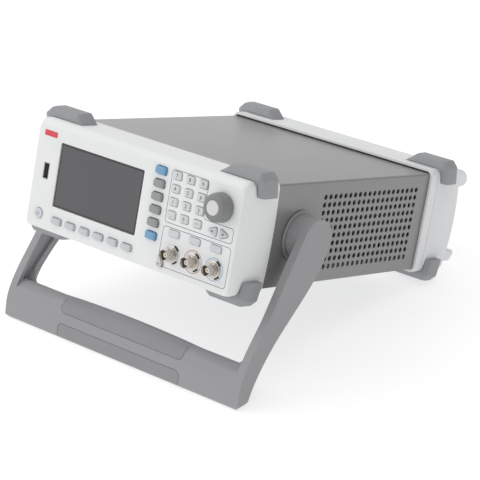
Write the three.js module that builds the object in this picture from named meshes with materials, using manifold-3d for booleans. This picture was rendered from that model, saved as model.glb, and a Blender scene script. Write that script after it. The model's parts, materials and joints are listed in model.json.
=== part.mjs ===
// Bench function generator with a swing handle, standing tilted on that handle and its rear corner
// guards. Millimetres, +Z up, X to the right as seen from the front, front panel towards -Y.
// The origin is on the standing surface, under the centre of the whole object.
//
// Everything is drawn in the case frame: Y = 0 on the face of the front panel, Z = 0 at half height.
// One group then tilts that frame back and lifts it onto the standing surface.

import * as THREE from 'three';
import { mergeVertices } from 'three/addons/utils/BufferGeometryUtils.js';
import Module from 'manifold-3d';

const wasm = await Module();
wasm.setup();

// ---------------------------------------------------------------- driving dimensions

const GAP = 0.3;                    // clearance between neighbouring pieces
const TILT_DEG = 16.5;              // how far the case leans back on its handle

// sheet-metal case
const COVER_HALF_WIDTH = 116.6;
const COVER_HALF_HEIGHT = 45;
const SHEET = 1.2;
const COVER_START = 30;
const COVER_END = 284;
const TRAY_START = 16;
const REAR_PANEL_Y = 300;

// moulded bezels around the front and the rear
const BEZEL_HALF_WIDTH = 119.3;
const BEZEL_HALF_HEIGHT = 48.8;
const BEZEL_INNER_HALF_WIDTH = COVER_HALF_WIDTH + GAP;
const BEZEL_INNER_HALF_HEIGHT = COVER_HALF_HEIGHT + GAP;
const FACE_HALF_WIDTH = 117.3;
const FACE_TOP = 43.4;
const FACE_BOTTOM = -48;
const FACE_CHAMFER_DEPTH = 5;
const FRONT_WALL = 3;
const FRONT_BEZEL_END = 43;         // at the corners; the sides bow back by BEZEL_BOW
const BEZEL_BOW = 3;
const REAR_BEZEL_START = 270;
const REAR_BEZEL_END = 314;
const REAR_BEZEL_BOW = 7.5;

// corner guards
const GUARD_INNER_END = 79;         // where a guard stops, from the middle of the case
const GUARD_RAMP = 9;
const GUARD_RISE = 8.4;             // how far it stands above and below the bezel
const GUARD_OUT = 5.4;              // how far it stands out at the side
const GUARD_BEVEL = 6;
const GUARD_SIDE_END = 35.7;        // height at which its side leg stops
const GUARD_LEAN = 3.4;             // how far the foot of its side leg is set back
const FRONT_GUARD = { start: 11, full: 14, end: 31, stop: 33 };
const REAR_GUARD = { start: 282, full: 285, end: 300, stop: 301.5 };

// front panel
const WINDOW = { x: -40.1, z: 3, width: 98, height: 57 };
const BUTTON_BACK = 8.4;            // rear end of every button, 1 mm of travel in front of the board
const SOFTKEY = { x: -80.9, z: -37, pitch: 16.78, count: 6, width: 11.6, height: 5.6, proud: 3 };
const FUNCTION_KEY = { x: 27.7, z: 36.6, pitch: 11.27, count: 6, width: 11.6, height: 6.8, proud: 3 };
const NUMBER_KEY = { x: 45.9, z: 36.3, pitchX: 14.27, pitchZ: 11.23, width: 9, height: 6.8, proud: 1.4 };
const OUTPUT_KEY = { x: 51.8, z: -12.1, pitch: 23.1, width: 12, height: 5.6, proud: 1.2 };
const ARROW_KEY = { x: 97.6, z: 1.4, spacing: 11.9, width: 9, height: 8, proud: 1.4 };
const POWER_BUTTON = { x: -103.5, z: -35.2, radius: 4.6, proud: 1.2 };
const KNOB = { x: 97, z: 23, baseRadius: 12.6, faceRadius: 11.3, clearance: 0.8, front: 12.8 };
const ENCODER = { shaftRadius: 3, shaftEnd: 10.6, body: 13, hole: 4 };
const USB = { x: -102.3, z: 3.2, width: 6, height: 14, wall: 0.5, depth: 14, tongueStart: 8 };
const BNC = { x: 52.9, z: -29.4, pitch: 23.2, length: 11, barrel: 4.85, bore: 4.1, flange: 6.6 };
const GROUND = { x: 42.4, z: -40, radius: 3, proud: 3 };

// rear panel
const INLET = { x: -72, z: -14, bodyWidth: 28, bodyHeight: 44, flangeWidth: 36, flangeHeight: 52 };
const PLUG_CAVITY = { width: 24, height: 16, depth: 15, z: -9 };
const ROCKER = { width: 19, height: 12, z: 11, clearance: 0.8, tiltDeg: 7 };
const REAR_SOCKETS = { xs: [20, 46, 72], z: -22, length: 11 };
const REAR_FOOT = { innerX: 99, outerX: 117, start: 302.5 };
const REAR_FOOT_TOP = [[315, 48.4], [329, 45.3], [333.8, 41.5], [336, 35.4], [332.6, 31.4], [320.6, 29.1]];
const REAR_FOOT_BOTTOM = [[325, -30.3], [334.5, -31.6], [336, -34.5], [330.8, -41.9]];

// boards
const PANEL_BOARD = { y: 10, thickness: 1.6, halfWidth: 113, halfHeight: 43.5 };
const BOARD_LEVEL = -34;
const BOARD_THICKNESS = 1.6;
const MAIN_BOARD = { x0: -20, x1: 108, y0: 70, y1: 292 };
const PARTITION = { x: -26, y0: 100, y1: REAR_PANEL_Y + 0.2, top: 40 };
const SHIELDS = [[0, 40, 90, 130, 6], [52, 96, 90, 130, 6], [10, 50, 160, 200, 14]];
const SUPPLY_BOARD = { x0: -108, x1: -30, y0: 120, y1: 268 };
const TRANSFORMER = { inset: 12, y: 20, size: 38, height: 30 };
const HEAT_SINK = { inset: 9, thickness: 3, height: 26 };
const CAPACITOR = { radius: 11, height: 28, x: 26, y: 40 };

// handle, seen from the side; its points are measured from the pivot
const PIVOT = { y: 84, z: -1 };
const HUB_RADIUS = 19.3;
const BOSS_RADIUS = 22.4;
const BOSS_THICKNESS = 1.9;
const STUD_RADIUS = 6;
const ARM_OUTER = 138;
const ARM_THICKNESS = 7.6;
const GRIP_END = ARM_OUTER - ARM_THICKNESS - GAP;

const tilt = THREE.MathUtils.degToRad(TILT_DEG);

// Height of the standing surface in the case frame: it touches the lower rear guards.
function standingHeight(y) {
  return -BEZEL_HALF_HEIGHT - GAP - GUARD_RISE + (y - REAR_GUARD.end) * Math.tan(tilt);
}

// ---------------------------------------------------------------- materials

function finish(color, roughness, metalness = 0) {
  return new THREE.MeshStandardMaterial({ color, roughness, metalness });
}

const panelPlastic = finish(0xebecec, 0.5);
const rearPlastic = finish(0xd2d3d4, 0.5);
const paintedSteel = finish(0x8c8d8f, 0.55, 0.2);
const plainSteel = finish(0xb4b6b8, 0.4, 0.9);
const guardRubber = finish(0x97999c, 0.75);
const handlePlastic = finish(0x9b9c9e, 0.6);
const paleKey = finish(0xcfd3d7, 0.55);
const greyKey = finish(0xa9abae, 0.55);
const blueKey = finish(0x74b1e6, 0.5);
const whiteKey = finish(0xf0f1f1, 0.5);
const outputKeyPlastic = finish(0xdde4ee, 0.45);
const knobRubber = finish(0x858688, 0.65);
const darkGlass = finish(0x4d4c4f, 0.12);
const boardGreen = finish(0x1f6b3e, 0.6);
const nickel = finish(0xb9b3a6, 0.28, 1);
const blackPlastic = finish(0x1c1c1e, 0.5);

// ---------------------------------------------------------------- solids

function toSolid(geometry) {
  geometry.deleteAttribute('normal');
  geometry.deleteAttribute('uv');
  const merged = mergeVertices(geometry, 1e-4);
  return new wasm.Manifold(new wasm.Mesh({
    numProp: 3,
    vertProperties: merged.attributes.position.array,
    triVerts: merged.index.array,
  }));
}

function toGeometry(solid) {
  const { vertProperties, triVerts } = solid.getMesh();
  const geometry = new THREE.BufferGeometry();
  geometry.setAttribute('position', new THREE.BufferAttribute(vertProperties, 3));
  geometry.setIndex(new THREE.BufferAttribute(triVerts, 1));
  return geometry;
}

function box(x0, x1, y0, y1, z0, z1) {
  const geometry = new THREE.BoxGeometry(x1 - x0, y1 - y0, z1 - z0);
  geometry.translate((x0 + x1) / 2, (y0 + y1) / 2, (z0 + z1) / 2);
  return toSolid(geometry);
}

// A front-view outline (x, z) pushed back from y0 to y1.
function frontPrism(shape, y0, y1) {
  const options = { depth: y1 - y0, bevelEnabled: false, curveSegments: 4 };
  const geometry = new THREE.ExtrudeGeometry(shape, options);
  geometry.rotateX(Math.PI / 2);
  geometry.translate(0, y1, 0);
  return toSolid(geometry);
}

// A side-view outline (y, z) pushed across from x0 to x1.
function sidePrism(shape, x0, x1, curveSegments = 6) {
  const options = { depth: x1 - x0, bevelEnabled: false, curveSegments };
  const geometry = new THREE.ExtrudeGeometry(shape, options);
  geometry.applyMatrix4(new THREE.Matrix4().makeBasis(
    new THREE.Vector3(0, 1, 0), new THREE.Vector3(0, 0, 1), new THREE.Vector3(1, 0, 0)));
  geometry.translate(x0, 0, 0);
  return toSolid(geometry);
}

// Cylinders along X, Y and Z.
function rodX(radius, x0, x1, y, z, segments = 24) {
  const geometry = new THREE.CylinderGeometry(radius, radius, x1 - x0, segments);
  geometry.rotateZ(Math.PI / 2);
  geometry.translate((x0 + x1) / 2, y, z);
  return toSolid(geometry);
}

function rodY(radius, y0, y1, x, z, segments = 20) {
  const geometry = new THREE.CylinderGeometry(radius, radius, y1 - y0, segments);
  geometry.translate(x, (y0 + y1) / 2, z);
  return toSolid(geometry);
}

function rodZ(radius, z0, z1, x, y, segments = 16) {
  const geometry = new THREE.CylinderGeometry(radius, radius, z1 - z0, segments);
  geometry.rotateX(Math.PI / 2);
  geometry.translate(x, y, (z0 + z1) / 2);
  return toSolid(geometry);
}

// The stretch from a to b across the case, on the side given by its sign.
function across(side, a, b) {
  return side < 0 ? [-b, -a] : [a, b];
}

// A profile of [radius, y] pairs turned about the Y axis, walked so that its faces point out.
function turned(profile, segments) {
  const points = profile.map(([r, y]) => new THREE.Vector2(r, y));
  if (THREE.ShapeUtils.area(points) < 0) points.reverse();
  return toSolid(new THREE.LatheGeometry(points, segments));
}

// A closed skin over rings of 3-D points of equal length, listed from front to back and
// anticlockwise as seen from the front.
function skin(rings) {
  const count = rings[0].length;
  const position = rings.flatMap((ring) => ring.flatMap((p) => p.toArray()));
  const index = [];
  for (let ring = 0; ring + 1 < rings.length; ring++) {
    for (let i = 0; i < count; i++) {
      const a = ring * count + i;
      const b = ring * count + (i + 1) % count;
      index.push(a, b + count, b, a, a + count, b + count);
    }
  }
  const last = (rings.length - 1) * count;
  const capOf = (ring) => THREE.ShapeUtils.triangulateShape(
    ring.map((p) => new THREE.Vector2(p.x, p.z)), []);
  for (const [a, b, c] of capOf(rings[0])) index.push(a, b, c);
  for (const [a, b, c] of capOf(rings.at(-1))) index.push(last + a, last + c, last + b);
  const geometry = new THREE.BufferGeometry();
  geometry.setAttribute('position', new THREE.Float32BufferAttribute(position, 3));
  geometry.setIndex(index);
  return toSolid(geometry);
}

// The same over flat front-view rings, each at its own depth y.
function loft(rings) {
  return skin(rings.map(({ y, points }) => points.map((p) => new THREE.Vector3(p.x, y, p.y))));
}

// Corner points of a rounded rectangle, anticlockwise.
function roundedRect(x0, x1, z0, z1, radius, cornerSteps = 3) {
  const corners = [[x1 - radius, z0 + radius, -90], [x1 - radius, z1 - radius, 0],
    [x0 + radius, z1 - radius, 90], [x0 + radius, z0 + radius, 180]];
  return corners.flatMap(([cx, cz, start]) => Array.from({ length: cornerSteps + 1 }, (_, i) => {
    const angle = THREE.MathUtils.degToRad(start + 90 * i / cornerSteps);
    return new THREE.Vector2(cx + radius * Math.cos(angle), cz + radius * Math.sin(angle));
  }));
}

function centredRect(width, height, radius, cornerSteps) {
  return roundedRect(-width / 2, width / 2, -height / 2, height / 2, radius, cornerSteps);
}

function shapeAt(points, x, z) {
  return new THREE.Shape(points.map((p) => new THREE.Vector2(p.x + x, p.y + z)));
}

// ---------------------------------------------------------------- scene graph

const instrument = new THREE.Group();
instrument.rotation.x = -tilt;

function place(name, shape, material, position = [0, 0, 0]) {
  const geometry = shape instanceof THREE.BufferGeometry ? shape : toGeometry(shape);
  const mesh = new THREE.Mesh(geometry, material);
  mesh.name = name;
  mesh.position.set(...position);
  instrument.add(mesh);
  return mesh;
}

// ---------------------------------------------------------------- buttons

// A button cap with a softened front edge and a plunger that runs back to the board.
function buttonCap(outline, proud) {
  const edge = 0.6;
  const inset = 0.9;
  const softened = outline.map((p) => p.clone().multiplyScalar(inset));
  return toGeometry(loft([
    { y: -proud, points: softened },
    { y: -proud + edge, points: outline },
    { y: BUTTON_BACK, points: outline },
  ]));
}

// Each entry becomes a button and a hole of the same outline in the front wall.
const buttons = [];

function addRow(names, outline, proud, materials, positionOf) {
  const cap = buttonCap(outline, proud);
  names.forEach((name, i) => {
    const [x, z] = positionOf(i);
    buttons.push({ outline, x, z });
    place(name, cap, materials[i] ?? materials[0], [x, 0, z]);
  });
}

function addButtons() {
  const numbered = (stem, count) => Array.from({ length: count }, (_, i) => `${stem}_${i + 1}`);
  addRow(numbered('softkey', SOFTKEY.count), centredRect(SOFTKEY.width, SOFTKEY.height, 1.6),
    SOFTKEY.proud, [paleKey], (i) => [SOFTKEY.x + i * SOFTKEY.pitch, SOFTKEY.z]);
  addRow(numbered('function_key', FUNCTION_KEY.count),
    centredRect(FUNCTION_KEY.width, FUNCTION_KEY.height, 1.6), FUNCTION_KEY.proud,
    [blueKey, greyKey, greyKey, greyKey, greyKey, blueKey],
    (i) => [FUNCTION_KEY.x, FUNCTION_KEY.z - i * FUNCTION_KEY.pitch]);
  const pad = ['7', '8', '9', '4', '5', '6', '1', '2', '3', 'point', '0', 'sign'];
  addRow(pad.map((key) => `key_${key}`), centredRect(NUMBER_KEY.width, NUMBER_KEY.height, 1.4, 2),
    NUMBER_KEY.proud, [whiteKey], (i) => [NUMBER_KEY.x + (i % 3) * NUMBER_KEY.pitchX,
      NUMBER_KEY.z - Math.floor(i / 3) * NUMBER_KEY.pitchZ]);
  addRow(['sync', 'ch1', 'ch2'].map((key) => `output_key_${key}`),
    centredRect(OUTPUT_KEY.width, OUTPUT_KEY.height, 1.4, 2), OUTPUT_KEY.proud, [outputKeyPlastic],
    (i) => [OUTPUT_KEY.x + i * OUTPUT_KEY.pitch, OUTPUT_KEY.z]);
  const { radius } = POWER_BUTTON;
  const round = centredRect(2 * radius, 2 * radius, radius * 0.999, 5);
  addRow(['power_button'], round, POWER_BUTTON.proud, [outputKeyPlastic],
    () => [POWER_BUTTON.x, POWER_BUTTON.z]);
  addRow(['arrow_key_left'], arrowOutline(-1), ARROW_KEY.proud, [paleKey],
    () => [ARROW_KEY.x - ARROW_KEY.spacing / 2, ARROW_KEY.z]);
  addRow(['arrow_key_right'], arrowOutline(1), ARROW_KEY.proud, [paleKey],
    () => [ARROW_KEY.x + ARROW_KEY.spacing / 2, ARROW_KEY.z]);
}

// A triangle with rounded corners that points to the side given by its sign.
function arrowOutline(side) {
  const radius = 1.6;
  const tip = ARROW_KEY.width / 2 - radius;
  const back = -ARROW_KEY.width / 2 + radius;
  const half = ARROW_KEY.height / 2 - radius;
  const steps = 4;
  const corners = [[back, -half, 180, 290], [tip, 0, -60, 60], [back, half, 70, 180]];
  const points = corners.flatMap(([cx, cz, from, to]) => Array.from({ length: steps + 1 }, (_, i) => {
    const angle = THREE.MathUtils.degToRad(from + (to - from) * i / steps);
    return new THREE.Vector2(side * (cx + radius * Math.cos(angle)), cz + radius * Math.sin(angle));
  }));
  return side < 0 ? points.reverse() : points;
}

// ---------------------------------------------------------------- front bezel and display

// Side view of a bezel whose free edge bows outwards between its top and bottom corners.
function bowedProfile(straight, bowed, bow) {
  const outline = new THREE.Shape();
  outline.moveTo(straight, -BEZEL_HALF_HEIGHT - 1);
  outline.lineTo(bowed, -BEZEL_HALF_HEIGHT - 1);
  outline.quadraticCurveTo(bowed + 2 * bow, 0, bowed, BEZEL_HALF_HEIGHT + 1);
  outline.lineTo(straight, BEZEL_HALF_HEIGHT + 1);
  return outline;
}

// Front view of the outside of both bezels.
function bezelRim() {
  return centredRect(2 * BEZEL_HALF_WIDTH, 2 * BEZEL_HALF_HEIGHT, 6);
}

function addFrontBezel() {
  const rim = bezelRim();
  const face = roundedRect(-FACE_HALF_WIDTH, FACE_HALF_WIDTH, FACE_BOTTOM, FACE_TOP, 4);
  let bezel = loft([
    { y: 0, points: face },
    { y: FACE_CHAMFER_DEPTH, points: rim },
    { y: FRONT_BEZEL_END + BEZEL_BOW, points: rim },
  ]);
  const trim = bowedProfile(-1, FRONT_BEZEL_END, BEZEL_BOW);
  bezel = bezel.intersect(sidePrism(trim, -BEZEL_HALF_WIDTH - 1, BEZEL_HALF_WIDTH + 1));
  bezel = bezel.subtract(box(-BEZEL_INNER_HALF_WIDTH, BEZEL_INNER_HALF_WIDTH, FRONT_WALL, 60,
    -BEZEL_INNER_HALF_HEIGHT, BEZEL_INNER_HALF_HEIGHT));
  const windowHole = centredRect(WINDOW.width, WINDOW.height, 1.2);
  bezel = bezel.subtract(frontPrism(shapeAt(windowHole, WINDOW.x, WINDOW.z), -1, FRONT_WALL + 1));
  for (const { outline, x, z } of buttons) {
    const widest = Math.max(...outline.map((p) => Math.abs(p.x)));
    const tallest = Math.max(...outline.map((p) => Math.abs(p.y)));
    const scale = new THREE.Vector2(1 + GAP / widest, 1 + GAP / tallest);
    const hole = outline.map((p) => p.clone().multiply(scale));
    bezel = bezel.subtract(frontPrism(shapeAt(hole, x, z), -1, FRONT_WALL + 1));
  }
  bezel = bezel.subtract(rodY(ENCODER.hole, -1, FRONT_WALL + 1, KNOB.x, KNOB.z));
  const usbHole = centredRect(USB.width + 2 * GAP, USB.height + 2 * GAP, 0.6, 1);
  bezel = bezel.subtract(frontPrism(shapeAt(usbHole, USB.x, USB.z), -1, FRONT_WALL + 1));
  for (let i = 0; i < 3; i++) {
    bezel = bezel.subtract(rodY(BNC.flange + GAP, -1, FRONT_WALL + 1, BNC.x + i * BNC.pitch, BNC.z));
  }
  bezel = bezel.subtract(rodY(GROUND.radius + GAP, -1, FRONT_WALL + 1, GROUND.x, GROUND.z, 12));
  place('front_bezel', bezel, panelPlastic);
}

function addDisplay() {
  const recess = 0.9;
  const thickness = 1.8;
  const pane = centredRect(WINDOW.width - 2 * GAP, WINDOW.height - 2 * GAP, 1);
  const window = frontPrism(shapeAt(pane, WINDOW.x, WINDOW.z), recess, recess + thickness);
  place('display_window', window, darkGlass);
  const margin = 4;
  place('lcd_module', box(
    WINDOW.x - WINDOW.width / 2 - margin, WINDOW.x + WINDOW.width / 2 + margin,
    FRONT_WALL + GAP, PANEL_BOARD.y - GAP,
    WINDOW.z - WINDOW.height / 2 - margin + 1, WINDOW.z + WINDOW.height / 2 + margin), plainSteel);
}

// ---------------------------------------------------------------- panel parts

function addPanelBoard() {
  const { y, thickness, halfWidth, halfHeight } = PANEL_BOARD;
  let board = box(-halfWidth, halfWidth, y, y + thickness, -halfHeight, halfHeight);
  for (let i = 0; i < 3; i++) {
    board = board.subtract(rodY(BNC.flange + 1, y - 1, y + thickness + 1, BNC.x + i * BNC.pitch, BNC.z));
  }
  board = board.subtract(box(USB.x - USB.width, USB.x + USB.width, y - 1, y + thickness + 1,
    USB.z - USB.height / 2 - 1, USB.z + USB.height / 2 + 1));
  board = board.subtract(rodY(GROUND.radius + 1, y - 1, y + thickness + 1, GROUND.x, GROUND.z, 12));
  const half = ENCODER.body / 2;
  const encoder = box(KNOB.x - half, KNOB.x + half, FRONT_WALL + GAP, y + 0.1, KNOB.z - half, KNOB.z + half);
  const shaft = rodY(ENCODER.shaftRadius, -ENCODER.shaftEnd, FRONT_WALL + 1, KNOB.x, KNOB.z);
  place('front_panel_board', board.add(encoder).add(shaft), boardGreen);
}

function addKnob() {
  const bore = ENCODER.shaftRadius + GAP;
  const boreEnd = -ENCODER.shaftEnd - GAP;
  const softening = 1.2;
  const profile = [
    [0, boreEnd], [0, -KNOB.front], [KNOB.faceRadius - softening, -KNOB.front],
    [KNOB.faceRadius, -KNOB.front + softening], [KNOB.baseRadius, -KNOB.clearance],
    [bore, -KNOB.clearance], [bore, boreEnd], [0, boreEnd]];
  place('tuning_knob', turned(profile, 36), knobRubber, [KNOB.x, 0, KNOB.z]);
}

function addUsbPort() {
  const { width, height, wall, depth, tongueStart } = USB;
  let port = frontPrism(new THREE.Shape(centredRect(width, height, 0.5, 1)), 0.2, depth);
  port = port.subtract(box(-width / 2 + wall, width / 2 - wall, -1, depth - 1,
    -height / 2 + wall, height / 2 - wall));
  port = port.add(box(-width / 2 + wall + 0.4, -width / 2 + wall + 2.4, tongueStart, depth - 0.5,
    -height / 2 + 1.4, height / 2 - 1.4));
  place('usb_host_port', port, plainSteel, [USB.x, 0, USB.z]);
}

// Bayonet socket: barrel with two lugs, shoulder in the panel hole, insulator and rear body.
function bncSocket(length, rearEnd) {
  const bodyRadius = 5.6;
  const insulator = 2.3;
  const insulatorFront = -length + 2;
  const cavityFloor = -length + 8;
  const pinBore = 0.7;
  const profile = [
    [pinBore, cavityFloor], [pinBore, insulatorFront], [insulator, insulatorFront],
    [insulator, cavityFloor], [BNC.bore, cavityFloor], [BNC.bore, -length], [BNC.barrel, -length],
    [BNC.barrel, -1.4], [BNC.flange, -1.4], [BNC.flange, FRONT_WALL + 2], [bodyRadius, FRONT_WALL + 2],
    [bodyRadius, rearEnd], [0, rearEnd], [0, cavityFloor], [pinBore, cavityFloor]];
  const lugs = rodZ(1, -BNC.barrel - 0.9, BNC.barrel + 0.9, 0, -length + 5.5, 10);
  const keepOut = rodY(BNC.bore - 0.05, -length - 1, cavityFloor, 0, 0);
  return turned(profile, 20).add(lugs.subtract(keepOut));
}

function addFrontSockets() {
  const socket = toGeometry(bncSocket(BNC.length, 20));
  ['bnc_sync', 'bnc_ch1', 'bnc_ch2'].forEach((name, i) => {
    place(name, socket, nickel, [BNC.x + i * BNC.pitch, 0, BNC.z]);
  });
  const post = turned([[0, 8], [GROUND.radius, 8], [GROUND.radius, -GROUND.proud + 0.6],
    [GROUND.radius - 0.6, -GROUND.proud], [0, -GROUND.proud]], 12);
  place('ground_terminal', post, nickel, [GROUND.x, 0, GROUND.z]);
}

// ---------------------------------------------------------------- case

function addCover() {
  const outer = COVER_HALF_WIDTH;
  const inner = COVER_HALF_WIDTH - SHEET;
  const outline = roundedRect(-outer, outer, -COVER_HALF_HEIGHT, COVER_HALF_HEIGHT, 2);
  let cover = frontPrism(new THREE.Shape(outline), COVER_START, COVER_END);
  cover = cover.subtract(box(-inner, inner, COVER_START - 1, COVER_END + 1,
    -COVER_HALF_HEIGHT - 1, COVER_HALF_HEIGHT - SHEET));
  for (const side of [-1, 1]) {
    const x = side * COVER_HALF_WIDTH;
    cover = cover.subtract(rodX(STUD_RADIUS + GAP, x - 3, x + 3, PIVOT.y, PIVOT.z));
  }
  place('case_cover', cover, paintedSteel);
}

function addTray() {
  const half = COVER_HALF_WIDTH - SHEET - GAP - 0.1;
  const floor = -COVER_HALF_HEIGHT + SHEET;
  const flange = floor + 12;
  let tray = box(-half, half, TRAY_START, REAR_PANEL_Y + SHEET, floor - SHEET, floor);
  for (const side of [-1, 1]) {
    tray = tray.add(box(...across(side, half - SHEET, half), TRAY_START, REAR_PANEL_Y + SHEET,
      floor - SHEET, flange));
  }
  tray = tray.add(box(-half, half, REAR_PANEL_Y, REAR_PANEL_Y + SHEET,
    floor - SHEET, COVER_HALF_HEIGHT - SHEET - GAP));
  const { x, y0, y1, top } = PARTITION;
  tray = tray.add(box(x, x + SHEET, y0, y1, floor - 0.2, top));
  for (const { x, y } of standoffs()) {
    tray = tray.add(rodZ(3, floor - 0.2, BOARD_LEVEL - GAP, x, y, 8));
  }
  const holeHalfWidth = INLET.bodyWidth / 2 + GAP;
  const holeHalfHeight = INLET.bodyHeight / 2 + GAP;
  tray = tray.subtract(box(INLET.x - holeHalfWidth, INLET.x + holeHalfWidth,
    REAR_PANEL_Y - 1, REAR_PANEL_Y + 3, INLET.z - holeHalfHeight, INLET.z + holeHalfHeight));
  for (const x of REAR_SOCKETS.xs) {
    tray = tray.subtract(
      rodY(BNC.flange + GAP, REAR_PANEL_Y - 1, REAR_PANEL_Y + 3, x, REAR_SOCKETS.z));
  }
  place('chassis_tray', tray, plainSteel);
}

// Where the posts stand that carry the two boards.
function standoffs() {
  const inset = 6;
  return [MAIN_BOARD, SUPPLY_BOARD].flatMap(({ x0, x1, y0, y1 }) => [
    { x: x0 + inset, y: y0 + inset }, { x: x1 - inset, y: y0 + inset },
    { x: x0 + inset, y: y1 - inset }, { x: x1 - inset, y: y1 - inset }]);
}

// ---------------------------------------------------------------- rear

function addRearBezel() {
  const rim = bezelRim();
  let bezel = loft([
    { y: REAR_BEZEL_START, points: rim },
    { y: REAR_BEZEL_END + REAR_BEZEL_BOW, points: rim },
  ]);
  const trim = bowedProfile(REAR_BEZEL_START - 1, REAR_BEZEL_END, REAR_BEZEL_BOW);
  bezel = bezel.intersect(sidePrism(trim, -BEZEL_HALF_WIDTH - 1, BEZEL_HALF_WIDTH + 1));
  const flangeY = REAR_PANEL_Y + SHEET + GAP;
  const flangeThickness = 3;
  const flangeWidth = 5;
  const hollowEnd = REAR_BEZEL_END + 2 * REAR_BEZEL_BOW;
  const hollow = (y0, y1, inset) => box(
    -BEZEL_INNER_HALF_WIDTH + inset, BEZEL_INNER_HALF_WIDTH - inset, y0, y1,
    -BEZEL_INNER_HALF_HEIGHT + inset, BEZEL_INNER_HALF_HEIGHT - inset);
  bezel = bezel.subtract(hollow(REAR_BEZEL_START - 1, flangeY, 0));
  bezel = bezel.subtract(hollow(flangeY - 1, hollowEnd, flangeWidth));
  bezel = bezel.subtract(hollow(flangeY + flangeThickness, hollowEnd, 0));
  for (const side of [-1, 1]) {
    for (const corners of [REAR_FOOT_TOP, REAR_FOOT_BOTTOM]) {
      bezel = bezel.add(sidePrism(rearFootProfile(corners),
        ...across(side, REAR_FOOT.innerX, REAR_FOOT.outerX)));
    }
  }
  place('rear_bezel', bezel, rearPlastic);
}

// Side view of a moulded foot that the case can stand on with its front up.
function rearFootProfile(corners) {
  const { start } = REAR_FOOT;
  const topZ = corners[0][1];
  const bottomZ = corners.at(-1)[1];
  const outline = [[start, bottomZ], [start, topZ], ...corners];
  return new THREE.Shape(outline.map(([y, z]) => new THREE.Vector2(y, z)).reverse());
}

// Mains inlet with the cavity for a plug below and a rocker switch above.
function addInlet() {
  const flangeY = REAR_PANEL_Y + SHEET + GAP;
  const flangeThickness = 2.4;
  const face = flangeY + flangeThickness;
  const back = flangeY - 24;
  const flange = new THREE.Shape(centredRect(INLET.flangeWidth, INLET.flangeHeight, 3));
  let inlet = frontPrism(flange, flangeY, face);
  inlet = inlet.add(box(-INLET.bodyWidth / 2, INLET.bodyWidth / 2, back, flangeY + 0.5,
    -INLET.bodyHeight / 2, INLET.bodyHeight / 2));
  const { width, height, depth, z } = PLUG_CAVITY;
  inlet = inlet.subtract(box(-width / 2, width / 2, face - depth, face + 1, z - height / 2, z + height / 2));
  for (const [x, pinZ] of [[-7, z - 2], [7, z - 2], [0, z + 2]]) {
    inlet = inlet.add(box(x - 1, x + 1, face - depth - 0.5, face - 4.6, pinZ - 2, pinZ + 2));
  }
  inlet = inlet.subtract(box(-ROCKER.width / 2 - ROCKER.clearance, ROCKER.width / 2 + ROCKER.clearance,
    face - 10, face + 1, ROCKER.z - ROCKER.height / 2 - ROCKER.clearance,
    ROCKER.z + ROCKER.height / 2 + ROCKER.clearance));
  place('iec_inlet', inlet, blackPlastic, [INLET.x, 0, INLET.z]);

  const axisY = face - 3;
  const rocker = new THREE.Shape();
  rocker.moveTo(-4, -ROCKER.height / 2 + 1);
  rocker.lineTo(3.4, -ROCKER.height / 2);
  rocker.lineTo(2.4, 0);
  rocker.lineTo(3.4, ROCKER.height / 2);
  rocker.lineTo(-4, ROCKER.height / 2 - 1);
  const shape = sidePrism(rocker, -ROCKER.width / 2, ROCKER.width / 2);
  const mesh = place('mains_rocker_switch', shape, blackPlastic, [INLET.x, axisY, INLET.z + ROCKER.z]);
  mesh.rotation.x = THREE.MathUtils.degToRad(ROCKER.tiltDeg);
}

// ---------------------------------------------------------------- boards inside the case

function addBoards() {
  const top = BOARD_LEVEL + BOARD_THICKNESS;
  const sink = 0.1;
  let main = box(MAIN_BOARD.x0, MAIN_BOARD.x1, MAIN_BOARD.y0, MAIN_BOARD.y1, BOARD_LEVEL, top);
  for (const [x0, x1, y0, y1, height] of SHIELDS) {
    main = main.add(box(x0, x1, y0, y1, top - sink, top + height));
  }
  for (const x of REAR_SOCKETS.xs) {
    const seat = REAR_PANEL_Y + SHEET;
    const barrel = turned([[0, seat - 16], [BNC.flange - 0.4, seat - 16], [BNC.flange - 0.4, seat],
      [BNC.barrel, seat], [BNC.barrel, seat + REAR_SOCKETS.length],
      [BNC.bore, seat + REAR_SOCKETS.length],
      [BNC.bore, seat + 3], [2.3, seat + 3], [2.3, seat + 9], [0, seat + 9]], 16);
    const stand = box(-5, 5, MAIN_BOARD.y1 - 8, seat - 2, top - REAR_SOCKETS.z - sink, 0);
    main = main.add(barrel.add(stand).translate([x, 0, REAR_SOCKETS.z]));
  }
  place('main_board', main, boardGreen);

  const { x0, x1, y0, y1 } = SUPPLY_BOARD;
  let supply = box(x0, x1, y0, y1, BOARD_LEVEL, top);
  const coreX = x0 + TRANSFORMER.inset;
  const coreY = y0 + TRANSFORMER.y;
  supply = supply.add(box(coreX, coreX + TRANSFORMER.size, coreY, coreY + TRANSFORMER.size,
    top - sink, top + TRANSFORMER.height));
  const sinkX = x1 - HEAT_SINK.inset;
  supply = supply.add(box(sinkX - HEAT_SINK.thickness, sinkX, y0 + 12, y1 - 30,
    top - sink, top + HEAT_SINK.height));
  supply = supply.add(rodZ(CAPACITOR.radius, top - sink, top + CAPACITOR.height,
    x0 + CAPACITOR.x, y1 - CAPACITOR.y));
  place('power_supply_board', supply, boardGreen);
}

// ---------------------------------------------------------------- corner guards

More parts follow.
